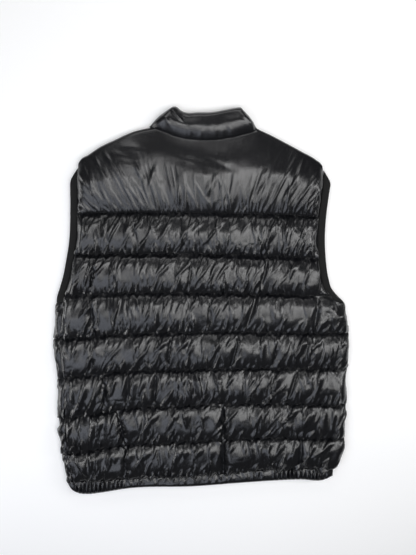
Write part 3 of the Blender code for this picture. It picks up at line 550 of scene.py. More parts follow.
def makeElastic():
    # knitted elastic: fine ribs across the band, matte, with a little fuzz
    finish, tree, surface, place = newFinish("blackElastic", {
        "Roughness": elastic["gloss"], "IOR": 1.36,
        "Sheen Weight": elastic["sheen"], "Sheen Roughness": elastic["sheenGloss"]})
    ribs = wave(tree, place, "Y", elastic["ribs"], 0.8, 1.0)
    fuzz = noise(tree, place, elastic["fuzz"], 3.0, 0.7)
    complete(tree, surface, elastic, ribs * 0.7 + fuzz * 0.3, ribs * 0.5 + fuzz * 0.5, 0.7 + fuzz * 0.15)
    return finish


tape = {
    "dark": (0.006, 0.006, 0.0065, 1), "light": (0.016, 0.016, 0.017, 1),
    "gloss": 0.72, "twill": 420.0, "rib": 230.0, "depth": 0.00018,
}


def makeTape():
    # herringbone tape: two slanting waves that swap from rib to rib
    finish, tree, surface, place = newFinish("blackTape", {"Roughness": tape["gloss"], "IOR": 1.45})
    left = wave(tree, place, "DIAGONAL", tape["twill"], 0.3)
    right = wave(tree, scaled(tree, place, (-1, 1, 1)), "DIAGONAL", tape["twill"], 0.3)
    share = wave(tree, place, "X", tape["rib"]).maths("GREATER_THAN", 0.5)
    weave = left * share + right * (1 - share)
    complete(tree, surface, tape, weave, weave, 0.66 + weave * 0.12)
    return finish


plastic = {
    "dark": (0.011, 0.011, 0.012, 1), "light": (0.019, 0.019, 0.020, 1),
    "gloss": 0.34, "flow": 700, "depth": 0.00008,
}


def makePlastic():
    # moulded teeth: satin, with faint flow marks
    finish, tree, surface, place = newFinish("blackPlastic", {"Roughness": plastic["gloss"], "IOR": 1.5})
    flow = noise(tree, scaled(tree, place, (1, 0.3, 1)), plastic["flow"], 2.0, 0.5)
    complete(tree, surface, plastic, flow, flow, 0.28 + flow * 0.14)
    return finish


metal = {
    "dark": (0.04, 0.04, 0.042, 1), "light": (0.16, 0.16, 0.165, 1),
    "gloss": 0.3, "grain": 900, "wear": 260, "depth": 0.00004,
}


def makeMetal():
    # blackened metal, a little brighter where hands wear it
    finish, tree, surface, place = newFinish("blackenedMetal", {"Metallic": 1.0, "Roughness": metal["gloss"]})
    grain = noise(tree, scaled(tree, place, (1, 6, 1)), metal["grain"], 3.0, 0.6)
    wear = noise(tree, place, metal["wear"], 2.0, 0.6)
    complete(tree, surface, metal, grain, wear ** 2.0, 0.24 + grain * 0.16)
    return finish


thread = {
    "dark": (0.010, 0.010, 0.011, 1), "light": (0.022, 0.022, 0.024, 1),
    "gloss": 0.55, "twist": 900.0, "depth": 0.0001,
}


def makeThread():
    # twisted thread: a slanting wave along each stitch
    finish, tree, surface, place = newFinish("blackThread", {"Roughness": thread["gloss"], "IOR": 1.5})
    twist = wave(tree, place, "DIAGONAL", thread["twist"])
    complete(tree, surface, thread, twist, twist, 0.5 + twist * 0.1)
    return finish


blackNylon, blackElastic, blackTape = makeNylon(), makeElastic(), makeTape()
blackPlastic, blackenedMetal, blackThread = makePlastic(), makeMetal(), makeThread()
print("finishes made")


back = {
    "width": 545, "columnStep": 1.75, "rowStep": 2.5, "foldColumns": 11,
    "loose": 0.055, "looseSpread": 0.7,   # spare cloth across a row, as a share, and how far it varies
    "looseUp": 0.02,                      # spare cloth up a channel
    "creaseCloth": 0.004,                 # spare cloth for each mm of a crease's depth
    "tightEdges": (30, 24),               # the gathers fade in over this width from the left and right edges
    "lump": 1.7, "proud": 0.4, "sunk": 0.7,
    "foldShare": 0.5,                     # of the folds' height, round the right side
    "seamLift": 0.5, "seamDrop": 1.1,
    "neckWall": 1.2,
    "rimProud": 1.5,                      # a seam's wall is at most this much over the row's thinnest place
    # the yoke's rows forget the neck's corners up to cornerTo in x, and blend over cornerBlend either side
    "cornerBlend": 45, "cornerTo": 205, "cornerFade": 40,
    # the yoke's down: its mounds, its slanting streaks, and the rounds of evening it out
    "billow": 2.4, "billowSize": (75, 50), "streak": 0.3, "streakSize": (40, 60, 13),
    "calming": 150, "calmEdge": 30,
    # where the underarm pulls the cloth flat, in mm and channels, and the share of gathers and folds it takes
    "armX": 235.0, "armWide": 42, "armTall": 0.4, "armCalm": (0.7, 0.6),
    "plainEdge": 9,                       # the folds fade in over this width from the sides
    "smoothFrom": 0.15,                   # the gathers end within this part of the yoke's height
    # of each random map: strength, a cloud's width, clouds to a channel, start, seed
    "wanderClouds": [(0.8, 7.5, 1.3, 0, 9)],
    "liftClouds": [(1, 6.5, 1.7, 0, 8)],
    "lumpClouds": [(1, 26, 2.5, 1, 21), (0.6, 13, 4, 1, 22)],
    "looseClouds": [(1, 45, 0.8, 3, 5)],
    "seedClouds": [(1, 6, 7, 0, 1), (1.6, 14, 3, 5, 2)],
    # spread is how fast the yoke's wrinkles fan out; width and length in mm, height of the two layers
    "wrinkle": {
        "spread": 0.8, "rootY": 190.0, "top": 345.0,
        "width": (6, 13), "length": (55, 80), "height": (1.2, 2.5)},
    # x, y, half length and half width, turn in degrees, height: soft swellings of the yoke's down
    "swells": [
        (-170, 302, 60, 30, 0, 3.0), (-128, 308, 24, 7, -12, 1.3), (-140, 292, 20, 6, -15, 1.0),
        (8, 298, 55, 17, -22, 1.3), (-55, 256, 24, 20, 0, -2.4), (150, 262, 60, 22, -10, 2.0),
        (-208, 264, 26, 24, 0, 2.0), (70, 240, 40, 25, 20, 1.0), (-100, 262, 18, 9, 40, -1.6),
        (-20, 285, 30, 6, -15, 0.8), (40, 276, 26, 6, -20, -0.8)],
    "pucker": {"x": 245.0, "y": -2.0, "size": 6.5, "depth": 2.2, "star": 0.12, "arms": 5},
    # x, y at both ends, half width, height: the long folds of the yoke that stand alone
    "blades": [
        (-176, 302, -124, 222, 6, 2.0), (-140, 252, -98, 191, 4, 1.8), (-199, 271, -196, 214, 5, 1.8),
        (-152, 265, -115, 191, 4, 1.8), (-185, 250, -163, 191, 5, 2.0), (-79, 282, -97, 224, 6, 1.8),
        (-109, 262, -89, 194, 4, 1.8), (-30, 246, -7, 203, 4, 1.6), (-38, 243, -40, 202, 3.5, 1.6),
        (182, 268, 165, 232, 5, 1.5), (120, 270, 100, 222, 8, 2.0), (212, 246, 224, 200, 5, 1.4),
        (30, 262, 6, 214, 8, 2.0), (70, 250, 86, 200, 4, 1.6),
        (-192, 292, -162, 236, 4, 1.6), (-158, 288, -128, 238, 4, 1.5), (-122, 284, -102, 244, 4, 1.4)],
    "rounds": 170, "push": 0.006, "carry": 0.5, "grip": 0.15, "bend": 0.05, "shear": 0.15, "ironing": 2,
    # x, channel from, channel to, depth, width, lean: the deepest creases
    "creases": [
        (-207, 4.05, 4.97, 7, 3, -4), (-203, 5.05, 5.9, 6, 3, 5), (-196, 4.2, 4.9, 4, 2.5, -2),
        (-210, 3.1, 3.98, 6, 3, 3), (-189, 2.08, 2.95, 10, 3.2, -6), (-142, 2.1, 2.97, 8, 3, 3),
        (-89, 2.1, 2.95, 8, 3, 3), (-157, 1.03, 1.97, 11, 3.2, -14), (-150, 0.08, 0.97, 9, 3, 2),
        (44, 1.03, 1.98, 12, 3.2, -2), (45, 0.06, 0.98, 12, 3.2, 0), (199, 0.08, 0.96, 9, 3, 3),
        (221, 4.03, 4.99, 9, 3.4, 8), (228, 5.02, 5.4, 5, 2.8, 6),
        (66, 3.08, 3.95, 7, 3, 12), (18, 4.1, 4.85, 5, 3, 2), (96, 4.1, 4.95, 8, 3, 20),
        (119, 5.1, 5.9, 6, 3, 16), (145, 3.1, 3.8, 6, 3, 10), (-60, 3.1, 3.9, 6, 3, 8),
        (-120, 6.1, 6.8, 4, 3, -10), (180, 2.2, 2.97, 7, 3, 18), (-20, 5.1, 5.8, 5, 3, 6)],
}


# pitch, length, width and rootRise in mm; height and the steep flank as shares of the width, lean as a share
# of the length; fan is what lean gains for each 100 mm to the right
# sameWay is the share of folds whose steep flank is on the left
folds = {
    "long": {"pitch": 11, "length": (34, 92), "width": (9, 20), "height": 0.34, "lean": -0.24,
             "leanSpread": 0.24, "fan": 0.0, "steep": 0.25, "sameWay": 0.75, "rootRise": 22,
             "rootShare": 0.25},
    "scallop": {"pitch": 6, "length": (9, 28), "width": (4, 9), "height": 0.44, "lean": -0.1,
                "leanSpread": 0.4, "fan": 0.0, "steep": 0.6, "sameWay": 0.6, "rootRise": 3, "rootShare": 0},
    "stroke": {"pitch": 8.5, "length": (14, 56), "width": (6, 12), "height": 0.66, "lean": 0.38,
               "leanSpread": 0.24, "fan": 0.0, "steep": 0.38, "sameWay": 0.85, "rootRise": 3, "rootShare": 0},
    "yoke": {"pitch": 5, "length": (22, 125), "width": (3.5, 9.5), "height": 0.42, "lean": 0.05,
             "leanSpread": 0.16, "fan": 0.22, "steep": 0.5, "sameWay": 0.6, "rootRise": 5, "rootShare": 0},
    "tuft": {"pitch": 5.5, "length": (7, 24), "width": (4, 8), "height": 0.55, "lean": 0.45,
             "leanSpread": 0.25, "fan": 0.0, "steep": 0.45, "sameWay": 0.8, "rootRise": 2.5, "rootShare": 0},
}


def dressChannel(x, part, tall, broad, seed):
    # the folds of one channel, from the distances to the quilting lines under and over it
    span = (x.min() - 20, x.max() + 20)
    up, down = part * tall, (1 - part) * tall
    if tall > vest["channelTall"]:
        wrinkles = foldsFrom(x, up, span, folds["yoke"], seed)
        return np.maximum(wrinkles, foldsFrom(x, up, span, folds["tuft"], seed + 2))
    wider = {kind: dict(rule, pitch=rule["pitch"] * broad, width=[width * broad for width in rule["width"]])
             for kind, rule in folds.items()}
    long = foldsFrom(x, down, span, wider["long"], seed)
    stroke = foldsFrom(x, up, span, wider["stroke"], seed + 1)
    scallop = foldsFrom(x, down, span, wider["scallop"], seed + 2)
    return np.maximum(np.maximum(long, scallop), stroke)


foldWaver = [(2.5, 12, 4, 0, 0)]    # of the grid that the folds stand on


def dressRows(way, rows, seed):
    # every channel's folds, on a slightly wavering grid; way is the place along a row
    # the folds grow wider and fewer towards the hem
    dress = np.zeros_like(way)
    which = np.minimum(np.floor(rows), yoke).astype(int)
    for number in range(yoke + 1):
        mine = which == number
        part = np.repeat((rows[mine] - number)[:, None], way.shape[1], 1)
        place = way[mine] + clouds(way[mine], part, foldWaver, seed + number)
        tall = vest["yokeTall"] if number == yoke else vest["channelTall"]
        dress[mine] = dressChannel(place, part, tall, 1 + 0.1 * max(5 - number, 0), seed + 10 * number + 100)
    return dress


def creaseMap(x, channel, table):
    # each crease runs up a channel and fades at its ends: depth = deep x window along it x a tent across it,
    # whose right side is steep and whose left side is gentle
    depth = np.zeros_like(x)
    for at, low, high, deep, width, lean in table:
        along = (channel - low) / (high - low)
        window = np.sin(np.pi * np.clip(along, 0, 1)) ** 0.5
        off = (x - at - lean * (along - 0.5)) / width
        depth += deep * window * np.clip(1 - np.where(off > 0, off / 0.8, -off / 2.0), 0, 1)
    return depth


def bladeMap(x, y, table):
    # single ridges between two places, pointed at both ends: height = tall x share ** 2 x a tent across,
    # where share is a half circle along the ridge
    height = np.zeros_like(x)
    for x0, y0, x1, y1, width, tall in table:
        long = math.hypot(x1 - x0, y1 - y0)
        along = ((x - x0) * (x1 - x0) + (y - y0) * (y1 - y0)) / long ** 2
        off = ((x - x0) * (y1 - y0) - (y - y0) * (x1 - x0)) / long
        share = np.sqrt(np.clip(1 - (2 * along - 1) ** 2, 0, 1))
        tent = np.clip(1 - np.abs(off) / (width * share + 0.3), 0, 1)
        height = np.maximum(height, tall * share ** 2 * tent)
    return height


def yokeWrinkles(x, y, rule):
    # fine ridges that fan out from the lower seam and weaken towards the neck: folded noise, sharp on top,
    # height = tall x (1 - 2.2 x |noise|) x patches of 0 to 1
    root = x / (1 + rule["spread"] * (y - rule["rootY"]) / 200)
    height = np.zeros_like(x)
    for layer, (width, length, tall) in enumerate(zip(rule["width"], rule["length"], rule["height"])):
        field = np.abs(cloudNoise(root / width + 40, y / length + 3, 35 + layer))
        patch = 0.5 + 0.5 * cloudNoise(x / 60 + 9, y / 45, 37 + layer)
        height += tall * np.clip(1 - 2.2 * field, 0, 1) * patch
    return height * np.clip((rule["top"] - y) / 90, 0.25, 1)


def swellMap(x, y, table):
    # rounded mounds: height = tall x exp(-(along / long) ** 2 - (across / wide) ** 2)
    height = np.zeros_like(x)
    for x0, y0, long, wide, turn, tall in table:
        cosine, sine = math.cos(math.radians(turn)), math.sin(math.radians(turn))
        along = (x - x0) * cosine + (y - y0) * sine
        across = (y - y0) * cosine - (x - x0) * sine
        height += tall * np.exp(-(along / long) ** 2 - (across / wide) ** 2)
    return height


def puckerAt(x, y, rule):
    # a dimple with short folds round it like a star: depth x (bell + star x cos(arms x angle) on a ring)
    away, angle = np.hypot(x - rule["x"], y - rule["y"]), np.arctan2(y - rule["y"], x - rule["x"])
    star = np.cos(rule["arms"] * angle) * np.exp(-((away - 1.5 * rule["size"]) / rule["size"]) ** 2)
    return rule["depth"] * (np.exp(-(away / rule["size"]) ** 2) + rule["star"] * star)


def nearArmhole(channel):
    # 0 well below the underarm, 1 from the underarm up
    return np.clip((channel - vest["underarmRow"] + vest["armFade"]) / vest["armFade"], 0, 1)


def makeBack():
    # a grid of rows up the back and columns from side to side, the last of them round the right side: x lies
    # between the row's two ends, y in proportion between two quilting lines, z = inside + wall;
    # the cloth is then relaxed, and folds, wrinkles and swellings are added along its normals
    rows = channelRows(back["rowStep"])
    under = rows <= vest["underarmRow"]
    bound = vest["bindingWidth"] + vest["seamGap"]
    left = settledEdge(rows, -1, np.where(under, vest["leftSeamInset"], bound))
    right = settledEdge(rows, 1, np.where(under, vest["foldReach"], bound))
    flat = round(back["width"] / back["columnStep"])
    across = np.linspace(0, 1, flat)
    turn = np.linspace(math.pi / 2, 0, back["foldColumns"] + 1)[1:]
    x = left[:, None] + (right - left)[:, None] * across
    channel = np.repeat(rows[:, None], flat, 1)
    wall = padding(channel, vest["channelWall"], vest["yokeWall"])
    arm = nearArmhole(rows)[:, None]
    rim = np.minimum(vest["sideSeamWall"] + (vest["boundWall"] - vest["sideSeamWall"]) * arm,
                     wall.min(1, keepdims=True) + back["rimProud"])
    wall = rim + (wall - rim) * edgeRise(x - left[:, None], vest["edgeWidth"])
    fromRight = edgeRise(right[:, None] - x, vest["edgeWidth"]) * arm + 1 - arm
    wall = vest["boundWall"] + (wall - vest["boundWall"]) * fromRight
    wall[-1] = vest["thinEdge"] + (back["neckWall"] - vest["thinEdge"]) * neckShare(x[-1])
    z = vest["inside"] + wall
    # the rounded side below the arm; above it these columns are the edge that the binding covers
    top = z[:, -1:] - vest["inside"]
    foldX = right[:, None] + np.where(under[:, None], vest["foldReach"], vest["edgeReach"]) * np.cos(turn)
    foldZ = vest["inside"] + vest["edgeLift"] + top * np.sin(turn)
    x, z = np.hstack([x, foldX]), np.hstack([z, foldZ])
    channel = np.repeat(rows[:, None], x.shape[1], 1)
    y = rowY(channel, x)
    part, onLine, held = gridMarks(channel, under, flat)
    # only the last rows of the yoke follow the corners of the neckline
    shifts = np.linspace(-back["cornerBlend"], back["cornerBlend"], 13)
    even = np.mean([topEdge(x + shift) for shift in shifts], 0) - topEdge(x)
    nearNeck = np.clip((back["cornerTo"] - np.abs(x)) / back["cornerFade"], 0, 1)
    y += np.where(channel > yoke, even * part * (1 - part ** 4), 0) * nearNeck
    inner = onLine & (channel > 0) & (channel <= yoke)
    y += np.where(inner, clouds(x, channel, back["wanderClouds"]), 0)
    z += np.where(inner, back["seamLift"] * clouds(x, channel, back["liftClouds"]), 0)
    arch = np.sin(np.pi * part) ** 0.8
    lumps = clouds(x, channel, back["lumpClouds"])
    creases = creaseMap(x, channel, back["creases"])
    lift = back["proud"] + back["lump"] * arch * lumps - creases
    spread = 1 + back["looseSpread"] * clouds(x, channel, back["looseClouds"])
    loose = back["loose"] * spread + back["creaseCloth"] * creases
    loose *= edgeRise(x - x[:, :1], back["tightEdges"][0]) * edgeRise(x[:, -1:] - x, back["tightEdges"][1])
    fromArm = (channel - vest["underarmRow"]) / back["armTall"]
    atArm = np.exp(-((x - back["armX"]) / back["armWide"]) ** 2 - fromArm ** 2)
    smooth = 1 - np.clip((channel - yoke) / back["smoothFrom"], 0, 1)  # 1 on the channels, 0 on the yoke
    loose, lift = loose * smooth * (1 - back["armCalm"][0] * atArm), (lift + creases) * smooth - creases
    seed = clouds(x, channel, back["seedClouds"]) * smooth
    wide, tall = back["billowSize"]
    billow = back["billow"] * cloudNoise(x / wide, y / tall, 33)
    wide, slant, tall = back["streakSize"]
    billow = billow + back["streak"] * cloudNoise(x / wide - y / slant, y / tall, 34)
    z += billow * np.sin(np.pi * part) * (1 - smooth)
    start = np.stack([x, y, z], -1)
    looseUp = np.full((len(rows) - 1, x.shape[1]), back["looseUp"])
    cloth = relaxCloth(start, held, loose[:, 1:], looseUp, lift, dict(back, seed=seed))
    fromEdge = np.minimum(x - x[:, :1], x[:, -1:] - x)
    calm = (1 - smooth) * ~held * np.clip(fromEdge / back["calmEdge"], 0, 1)
    for _ in range(back["calming"]):  # evens the yoke out sideways
        mean = (cloth[:, 2:, 2] + cloth[:, :-2, 2]) / 2
        cloth[:, 1:-1, 2] += 0.5 * calm[:, 1:-1] * (mean - cloth[:, 1:-1, 2])
    way = x[:, :1] + wayAlong(start)
    dress = dressRows(way, rows, 90) * (1 - back["armCalm"][1] * atArm) - back["sunk"]
    dress = dress * edgeRise(x - x[:, :1], back["plainEdge"]) * ~held
    dress = np.maximum(dress, bladeMap(x, y, back["blades"]) * ~held) - puckerAt(x, y, back["pucker"])
    inYoke = (1 - smooth) * np.sin(np.pi * part) ** 0.5 * ~held
    dress += (yokeWrinkles(x, y, back["wrinkle"]) + swellMap(x, y, back["swells"])) * inYoke
    dress[:, :flat] *= (edgeRise(right[:, None] - x[:, :flat], back["plainEdge"]) - 1) * arm + 1
    dress[:, flat:] *= back["foldShare"]
    cloth += unitNormals(cloth) * dress[..., None]
    cloth[..., 2] -= back["seamDrop"] * inner  # the thread pulls the quilting lines in
    points, faces = shellOnLevel(cloth, vest["inside"])
    piece = newPiece("backShell", points, faces, blackNylon)
    sharpenRows(piece, np.flatnonzero(onLine[:, 0]), cloth.shape)
    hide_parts("back_panel")
    print("back relaxed", cloth.shape, "highest", round(float(cloth[..., 2].max()), 1))
    return quiltedRows(cloth, rows)


front = {
    "width": 270, "columnStep": 3.4, "rowStep": 2.7, "foldColumns": 22,
    "zipEdgeWidth": 14,       # the padding thins towards the zip over this width
    "loose": 0.06, "looseSpread": 0.7, "looseUp": 0.015, "lump": 1.0, "proud": 0.2,
    "foldLevel": 0.4,         # half the gap between the walls where the left front turns over
    "lumpClouds": [(1, 18, 3, 0, 31)], "looseClouds": [(1, 40, 1, 0, 35)],
    "seedClouds": [(1, 6, 7, 0, 41), (1.4, 15, 3, 0, 43)],
    "rounds": 90, "push": 0.006, "carry": 0.5, "grip": 0.25, "bend": 0.05, "shear": 0.15, "ironing": 2,
    "innerFold": 7.0,                    # how far the inside goes round the left fold
    "wrapThinner": 2, "wrapOver": 3,     # the wrap's crown under the back's, and over the wall at the fold
    "stripFrom": 4, "stripShare": 0.7,   # of the left front's fold: its first column with folds, their height
    "seamFrom": 8,                       # and the first column where its quilting lines are stitched
}


def makeFront(side):
    # the same grid from the zip to the side fold, facing down: z = inside - wall, no lower than the floor;
    # side -1 is the left front, which goes on round its fold to the side seam, and 1 the right
    rows = channelRows(front["rowStep"])
    under = rows <= vest["underarmRow"]
    bound = vest["bindingWidth"] + vest["seamGap"]
    edge = settledEdge(rows, side, np.where(under, vest["foldReach"], bound))
    zipEdge = vest["zipX"] + side * vest["zipHalf"]
    flat = round(front["width"] / front["columnStep"])
    x = zipEdge + (edge[:, None] - zipEdge) * np.linspace(0, 1, flat)
    channel = np.repeat(rows[:, None], flat, 1)
    inside = vest["midLevel"] - (vest["inside"] - vest["midLevel"])
    wall = padding(channel, vest["frontWall"], vest["frontWall"])
    zipRim = vest["stitchWall"] + 1
    wall = zipRim + (wall - zipRim) * edgeRise(np.abs(x - zipEdge), front["zipEdgeWidth"])
    arm = nearArmhole(rows)[:, None]
    rise = edgeRise(np.abs(edge[:, None] - x), vest["edgeWidth"]) * arm + 1 - arm
    wall = np.minimum(vest["boundWall"] + (wall - vest["boundWall"]) * rise, inside)
    wall[-1] = vest["thinEdge"] + (vest["boundWall"] - vest["thinEdge"]) * neckShare(x[-1])
    z = inside - wall
    y = rowY(channel, x, frontTop)
    last = 0 if side > 0 else math.pi / 2
    turn = np.linspace(-math.pi / 2, last, front["foldColumns"] + 1)[1:]
    reach, below = vest["foldReach"], wall[:, -1:]
    if side < 0:
        # round the fold and on to the side seam on the upper side
        over = padding(rows, vest["channelWall"] - front["wrapThinner"], vest["yokeWall"])[:, None]
        over = np.minimum(over, below + front["wrapOver"])
        over = vest["boundWall"] + (over - vest["boundWall"]) * (1 - arm)
        seam = np.minimum(vest["sideSeamWall"], over)
        up = np.clip(np.sin(turn), 0, 1)
        level = front["foldLevel"]
        foldZ = np.where(turn <= 0, vest["midLevel"] + (below + level) * np.sin(turn),
                         vest["midLevel"] + (level + over + (seam - over) * up ** 4) * up)
        foldX = edge[:, None] - reach * np.cos(turn)
        foldX = np.minimum(foldX, edge[:, None] - reach + vest["leftSeamInset"] - vest["seamGap"])
    else:
        foldZ = inside - vest["edgeLift"] - below + below * (1 - np.abs(np.sin(turn)))
        foldX = edge[:, None] + reach * np.cos(turn)
    rimZ = np.linspace(0, 1, len(turn))[None] * below + inside - below
    boundX = edge[:, None] + side * vest["edgeReach"] * np.abs(np.cos(turn))
    foldX = np.where(under[:, None], foldX, boundX)
    foldZ = np.where(under[:, None], foldZ, rimZ)
    foldY = rowY(np.repeat(rows[:, None], len(turn), 1), foldX)
    start = np.stack([np.hstack([x, foldX]), np.hstack([y, foldY]), np.hstack([z, foldZ])], -1)
    channel = np.repeat(rows[:, None], start.shape[1], 1)
    part, onLine, held = gridMarks(channel, under, flat)
    alongWay = wayAlong(start)
    lumps = clouds(alongWay, channel, front["lumpClouds"], side)
    lift = front["proud"] + front["lump"] * np.sin(np.pi * part) * lumps
    spread = 1 + front["looseSpread"] * clouds(alongWay, channel, front["looseClouds"], side)
    loose = front["loose"] * spread
    seed = clouds(alongWay, channel, front["seedClouds"], side)
    if side > 0:  # turned round, so that its normals point down as well
        start, held, lift, loose, seed = (grid[:, ::-1] for grid in (start, held, lift, loose, seed))
    looseUp = np.full((len(rows) - 1, start.shape[1]), front["looseUp"])
    cloth = relaxCloth(start, held, loose[:, 1:], looseUp, lift, dict(front, seed=seed))
    if side < 0:
        # folds only on the strip that shows from above
        first = flat + front["stripFrom"]
        strip = edgeRise(alongWay - alongWay[:, first:first + 1], 8) * (np.arange(cloth.shape[1]) > first)
        dress = front["stripShare"] * dressRows(alongWay, rows, 700) * strip * ~held
        cloth += unitNormals(cloth) * dress[..., None]
    cloth[..., 2] = np.maximum(cloth[..., 2], 0)  # it lies on the floor
    if side > 0:
        points, faces = shellOnLevel(cloth, inside)
    else:
        innerX = edge[:, None] - front["innerFold"] * np.cos(turn)
        innerX[:, -1] = foldX[:, -1]
        innerX = np.where(under[:, None], innerX, edge[:, None])
        innerZ = np.where(under[:, None], vest["midLevel"] + front["foldLevel"] * np.sin(turn), inside)
        inner = start.copy()
        inner[:, :flat, 2] = inside
        inner[:, flat:, 0], inner[:, flat:, 2] = innerX, innerZ
        points, faces = shellOnGrid(cloth, inner)
    name, node = ("frontLeftShell", "front_left") if side < 0 else ("frontRightShell", "front_right")
    piece = newPiece(name, points, faces, blackNylon)
    sharpenRows(piece, np.flatnonzero(onLine[:, 0]), cloth.shape)
    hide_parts(node)
    print(name, "relaxed", cloth.shape)
    return quiltedRows(cloth[:, flat + front["seamFrom"]:], rows)


seamLines = makeBack()
leftSeamLines = makeFront(-1)
makeFront(1)


collar = {
    "rows": 34, "foldColumns": 16, "frontColumns": 45, "backColumns": 82,
    "fold": 4.0, "bulge": 2.5, "rim": 3.0, "overhang": 9.2,
    "flare": (13.0, 0.0),    # how far the left and right ends lean out past the neckline
    "topX": (-46, 70), "rimY": 317.0,
    "hangs": (0.13, 0.11),   # where up the collar its back hangs most over the neckline, and over what part
    # x, y of the upper edge
    "top": [(-50, 379.6), (-43, 379.6), (-35, 373.5), (0, 370), (27, 371), (46, 374.5), (71, 378.5),
            (84, 378.5)],
    # part of the way up, wall
    "walls": [(0, 3), (0.06, 3.7), (0.13, 5.0), (0.2, 9.0), (0.27, 12.5), (0.34, 13.6), (0.42, 14.0),
              (0.5, 13.9), (0.58, 13.3), (0.68, 12.3), (0.78, 11.3), (0.9, 10.0), (0.96, 8.5), (1, 3.2)],
    "loose": 0.002, "looseSpread": 0.8, "looseUp": 0.01, "lump": 1.5, "proud": 0.1,
    "lumpClouds": [(1, 21, 2, 0, 51)], "looseClouds": [(1, 30, 1, 0, 52)],
    "seedClouds": [(1, 6, 5, 0, 53), (1.3, 15, 2, 0, 54)],
    "folds": {"pitch": 12, "length": (12, 44), "width": (6, 13), "height": 0.12, "lean": -0.3,
              "leanSpread": 0.5, "fan": 0.0, "steep": 0.7, "sameWay": 0.5, "rootRise": 8, "rootShare": 0},
    "blades": [(-54, 378, -29, 352, 4.5, 2.6), (-66, 368, -52, 343, 4, 1.8), (-42, 372, -12, 361, 3.5, 1.4),
               (66, 374, 96, 348, 4, 1.2)],
    "rounds": 110, "push": 0.006, "carry": 0.5, "grip": 0.2, "bend": 0.12, "shear": 0.15, "ironing": 9,
}
collarTop = smoothCurve(collar["top"])
collarWall = smoothCurve(collar["walls"])


def makeCollar():
    # a ring pressed flat: stations run from the zip round the left fold, over the back, round the right fold
    # each station has a low point on the neckline, a high one on the upper edge, and its turn, which is -90
    # degrees underneath and 90 on top: x = between them + reach x cos(turn) outwards,
    # z = middle + (gap + wall) x sin(turn)
    gap, fold = vest["seamGap"], collar["fold"]
    low, high, turn, toSide = [], [], [], []
    for side in (-1, 1):
        order = slice(None) if side < 0 else slice(None, None, -1)
        neck, topX = vest["neckX"][(side + 1) // 2], collar["topX"][(side + 1) // 2]
        zipEdge, centre = vest["zipX"] + side * vest["zipHalf"], neck - side * fold
        part = np.linspace(0, 1, collar["frontColumns"] + 1)[:-1]
        x = zipEdge + (centre - zipEdge) * part
        frontLow = np.stack([x, frontNeck(x) + gap], -1)
        frontHigh = np.stack([zipEdge + (topX - zipEdge) * part,
                              collar["rimY"] + (collarTop(topX) - collar["rimY"]) * part ** 2.2], -1)
        angle = np.linspace(-math.pi / 2, math.pi / 2, collar["foldColumns"])
        rimX = centre + side * fold * np.cos(angle)
        rimY = np.where(angle < 0, frontNeck(rimX), topEdge(rimX)) + gap
        foldLow = np.stack([np.full_like(angle, centre), rimY], -1)
        foldHigh = np.tile([topX, float(collarTop(topX))], (len(angle), 1))
        sideLow, sideHigh = np.concatenate([frontLow, foldLow]), np.concatenate([frontHigh, foldHigh])
        sideTurn = np.concatenate([np.full(len(part), -math.pi / 2), angle])
        if side > 0:
            across = np.linspace(0, 1, collar["backColumns"] + 2)[1:-1]
            backX = low[-1][-1][0] + (centre - low[-1][-1][0]) * across
            backTopX = collar["topX"][0] + (collar["topX"][1] - collar["topX"][0]) * across
            low.append(np.stack([backX, topEdge(backX) + gap], -1))
            high.append(np.stack([backTopX, collarTop(backTopX)], -1))
            turn.append(np.full(len(across), math.pi / 2))
            toSide.append(np.zeros(len(across)))
        low.append(sideLow[order])
        high.append(sideHigh[order])
        turn.append(sideTurn[order])
        toSide.append(np.full(len(sideTurn), float(side)))
    low, high, turn, toSide = (np.concatenate(column) for column in (low, high, turn, toSide))
    up = np.linspace(0, 1, collar["rows"])[:, None]
    wall = collarWall(up)
    inside = vest["inside"] - vest["midLevel"]
    centre = low[None] + (high - low)[None] * up[..., None]
    flare = np.where(toSide < 0, collar["flare"][0], collar["flare"][1])
    reach = fold + collar["bulge"] * np.sin(np.pi * up) + flare * (1 - up) ** 0.8
    thick = np.where(turn > 0, wall, np.minimum(wall, vest["midLevel"] - inside))
    x = centre[..., 0] + toSide * reach * np.cos(turn)
    z = vest["midLevel"] + (inside + thick) * np.sin(turn)
    fromHang = (up - collar["hangs"][0]) / collar["hangs"][1]
    hang = collar["overhang"] * np.exp(-fromHang ** 2) * np.clip(np.sin(turn), 0, 1)
    y = centre[..., 1] - hang
    start = np.stack([x, y, z], -1)
    way = np.cumsum(np.linalg.norm(np.diff(centre[0], axis=0, prepend=centre[0, :1]), axis=-1))
    way = np.repeat(way[None], len(up), 0)
    height = np.repeat(up, way.shape[1], 1)
    held = np.zeros(way.shape, bool)
    held[0] = held[-1] = held[:, 0] = held[:, -1] = True
    arch = np.sin(np.pi * height)
    lift = collar["proud"] + collar["lump"] * arch * clouds(way, height, collar["lumpClouds"])
    loose = collar["loose"] * (1 + collar["looseSpread"] * clouds(way, height, collar["looseClouds"]))
    seed = clouds(way, height, collar["seedClouds"])
    looseUp = np.full((len(up) - 1, way.shape[1]), collar["looseUp"])
    cloth = relaxCloth(start, held, loose[:, 1:], looseUp, lift, dict(collar, seed=seed))
    dress = foldsFrom(way, height * 50, (0, way.max()), collar["folds"], 57)
    onTop = np.sin(turn) > 0.5
    dress = np.maximum(dress, bladeMap(x, y, collar["blades"]) * onTop) * edgeRise(1 - height, 0.08)
    cloth += unitNormals(cloth) * (dress * ~held)[..., None]
    cloth[..., 2] = np.maximum(cloth[..., 2], 0)
    innerX = centre[..., 0] + toSide * (reach - collar["rim"]) * np.cos(turn)
    innerZ = np.broadcast_to(vest["midLevel"] + inside * np.sin(turn), innerX.shape)
    inner = np.stack([innerX, centre[..., 1], innerZ], -1)
    points, faces = shellOnGrid(cloth, inner)
    piece = newPiece("collarShell", points, faces, blackNylon)
    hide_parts("collar")
    print("collar relaxed", cloth.shape)


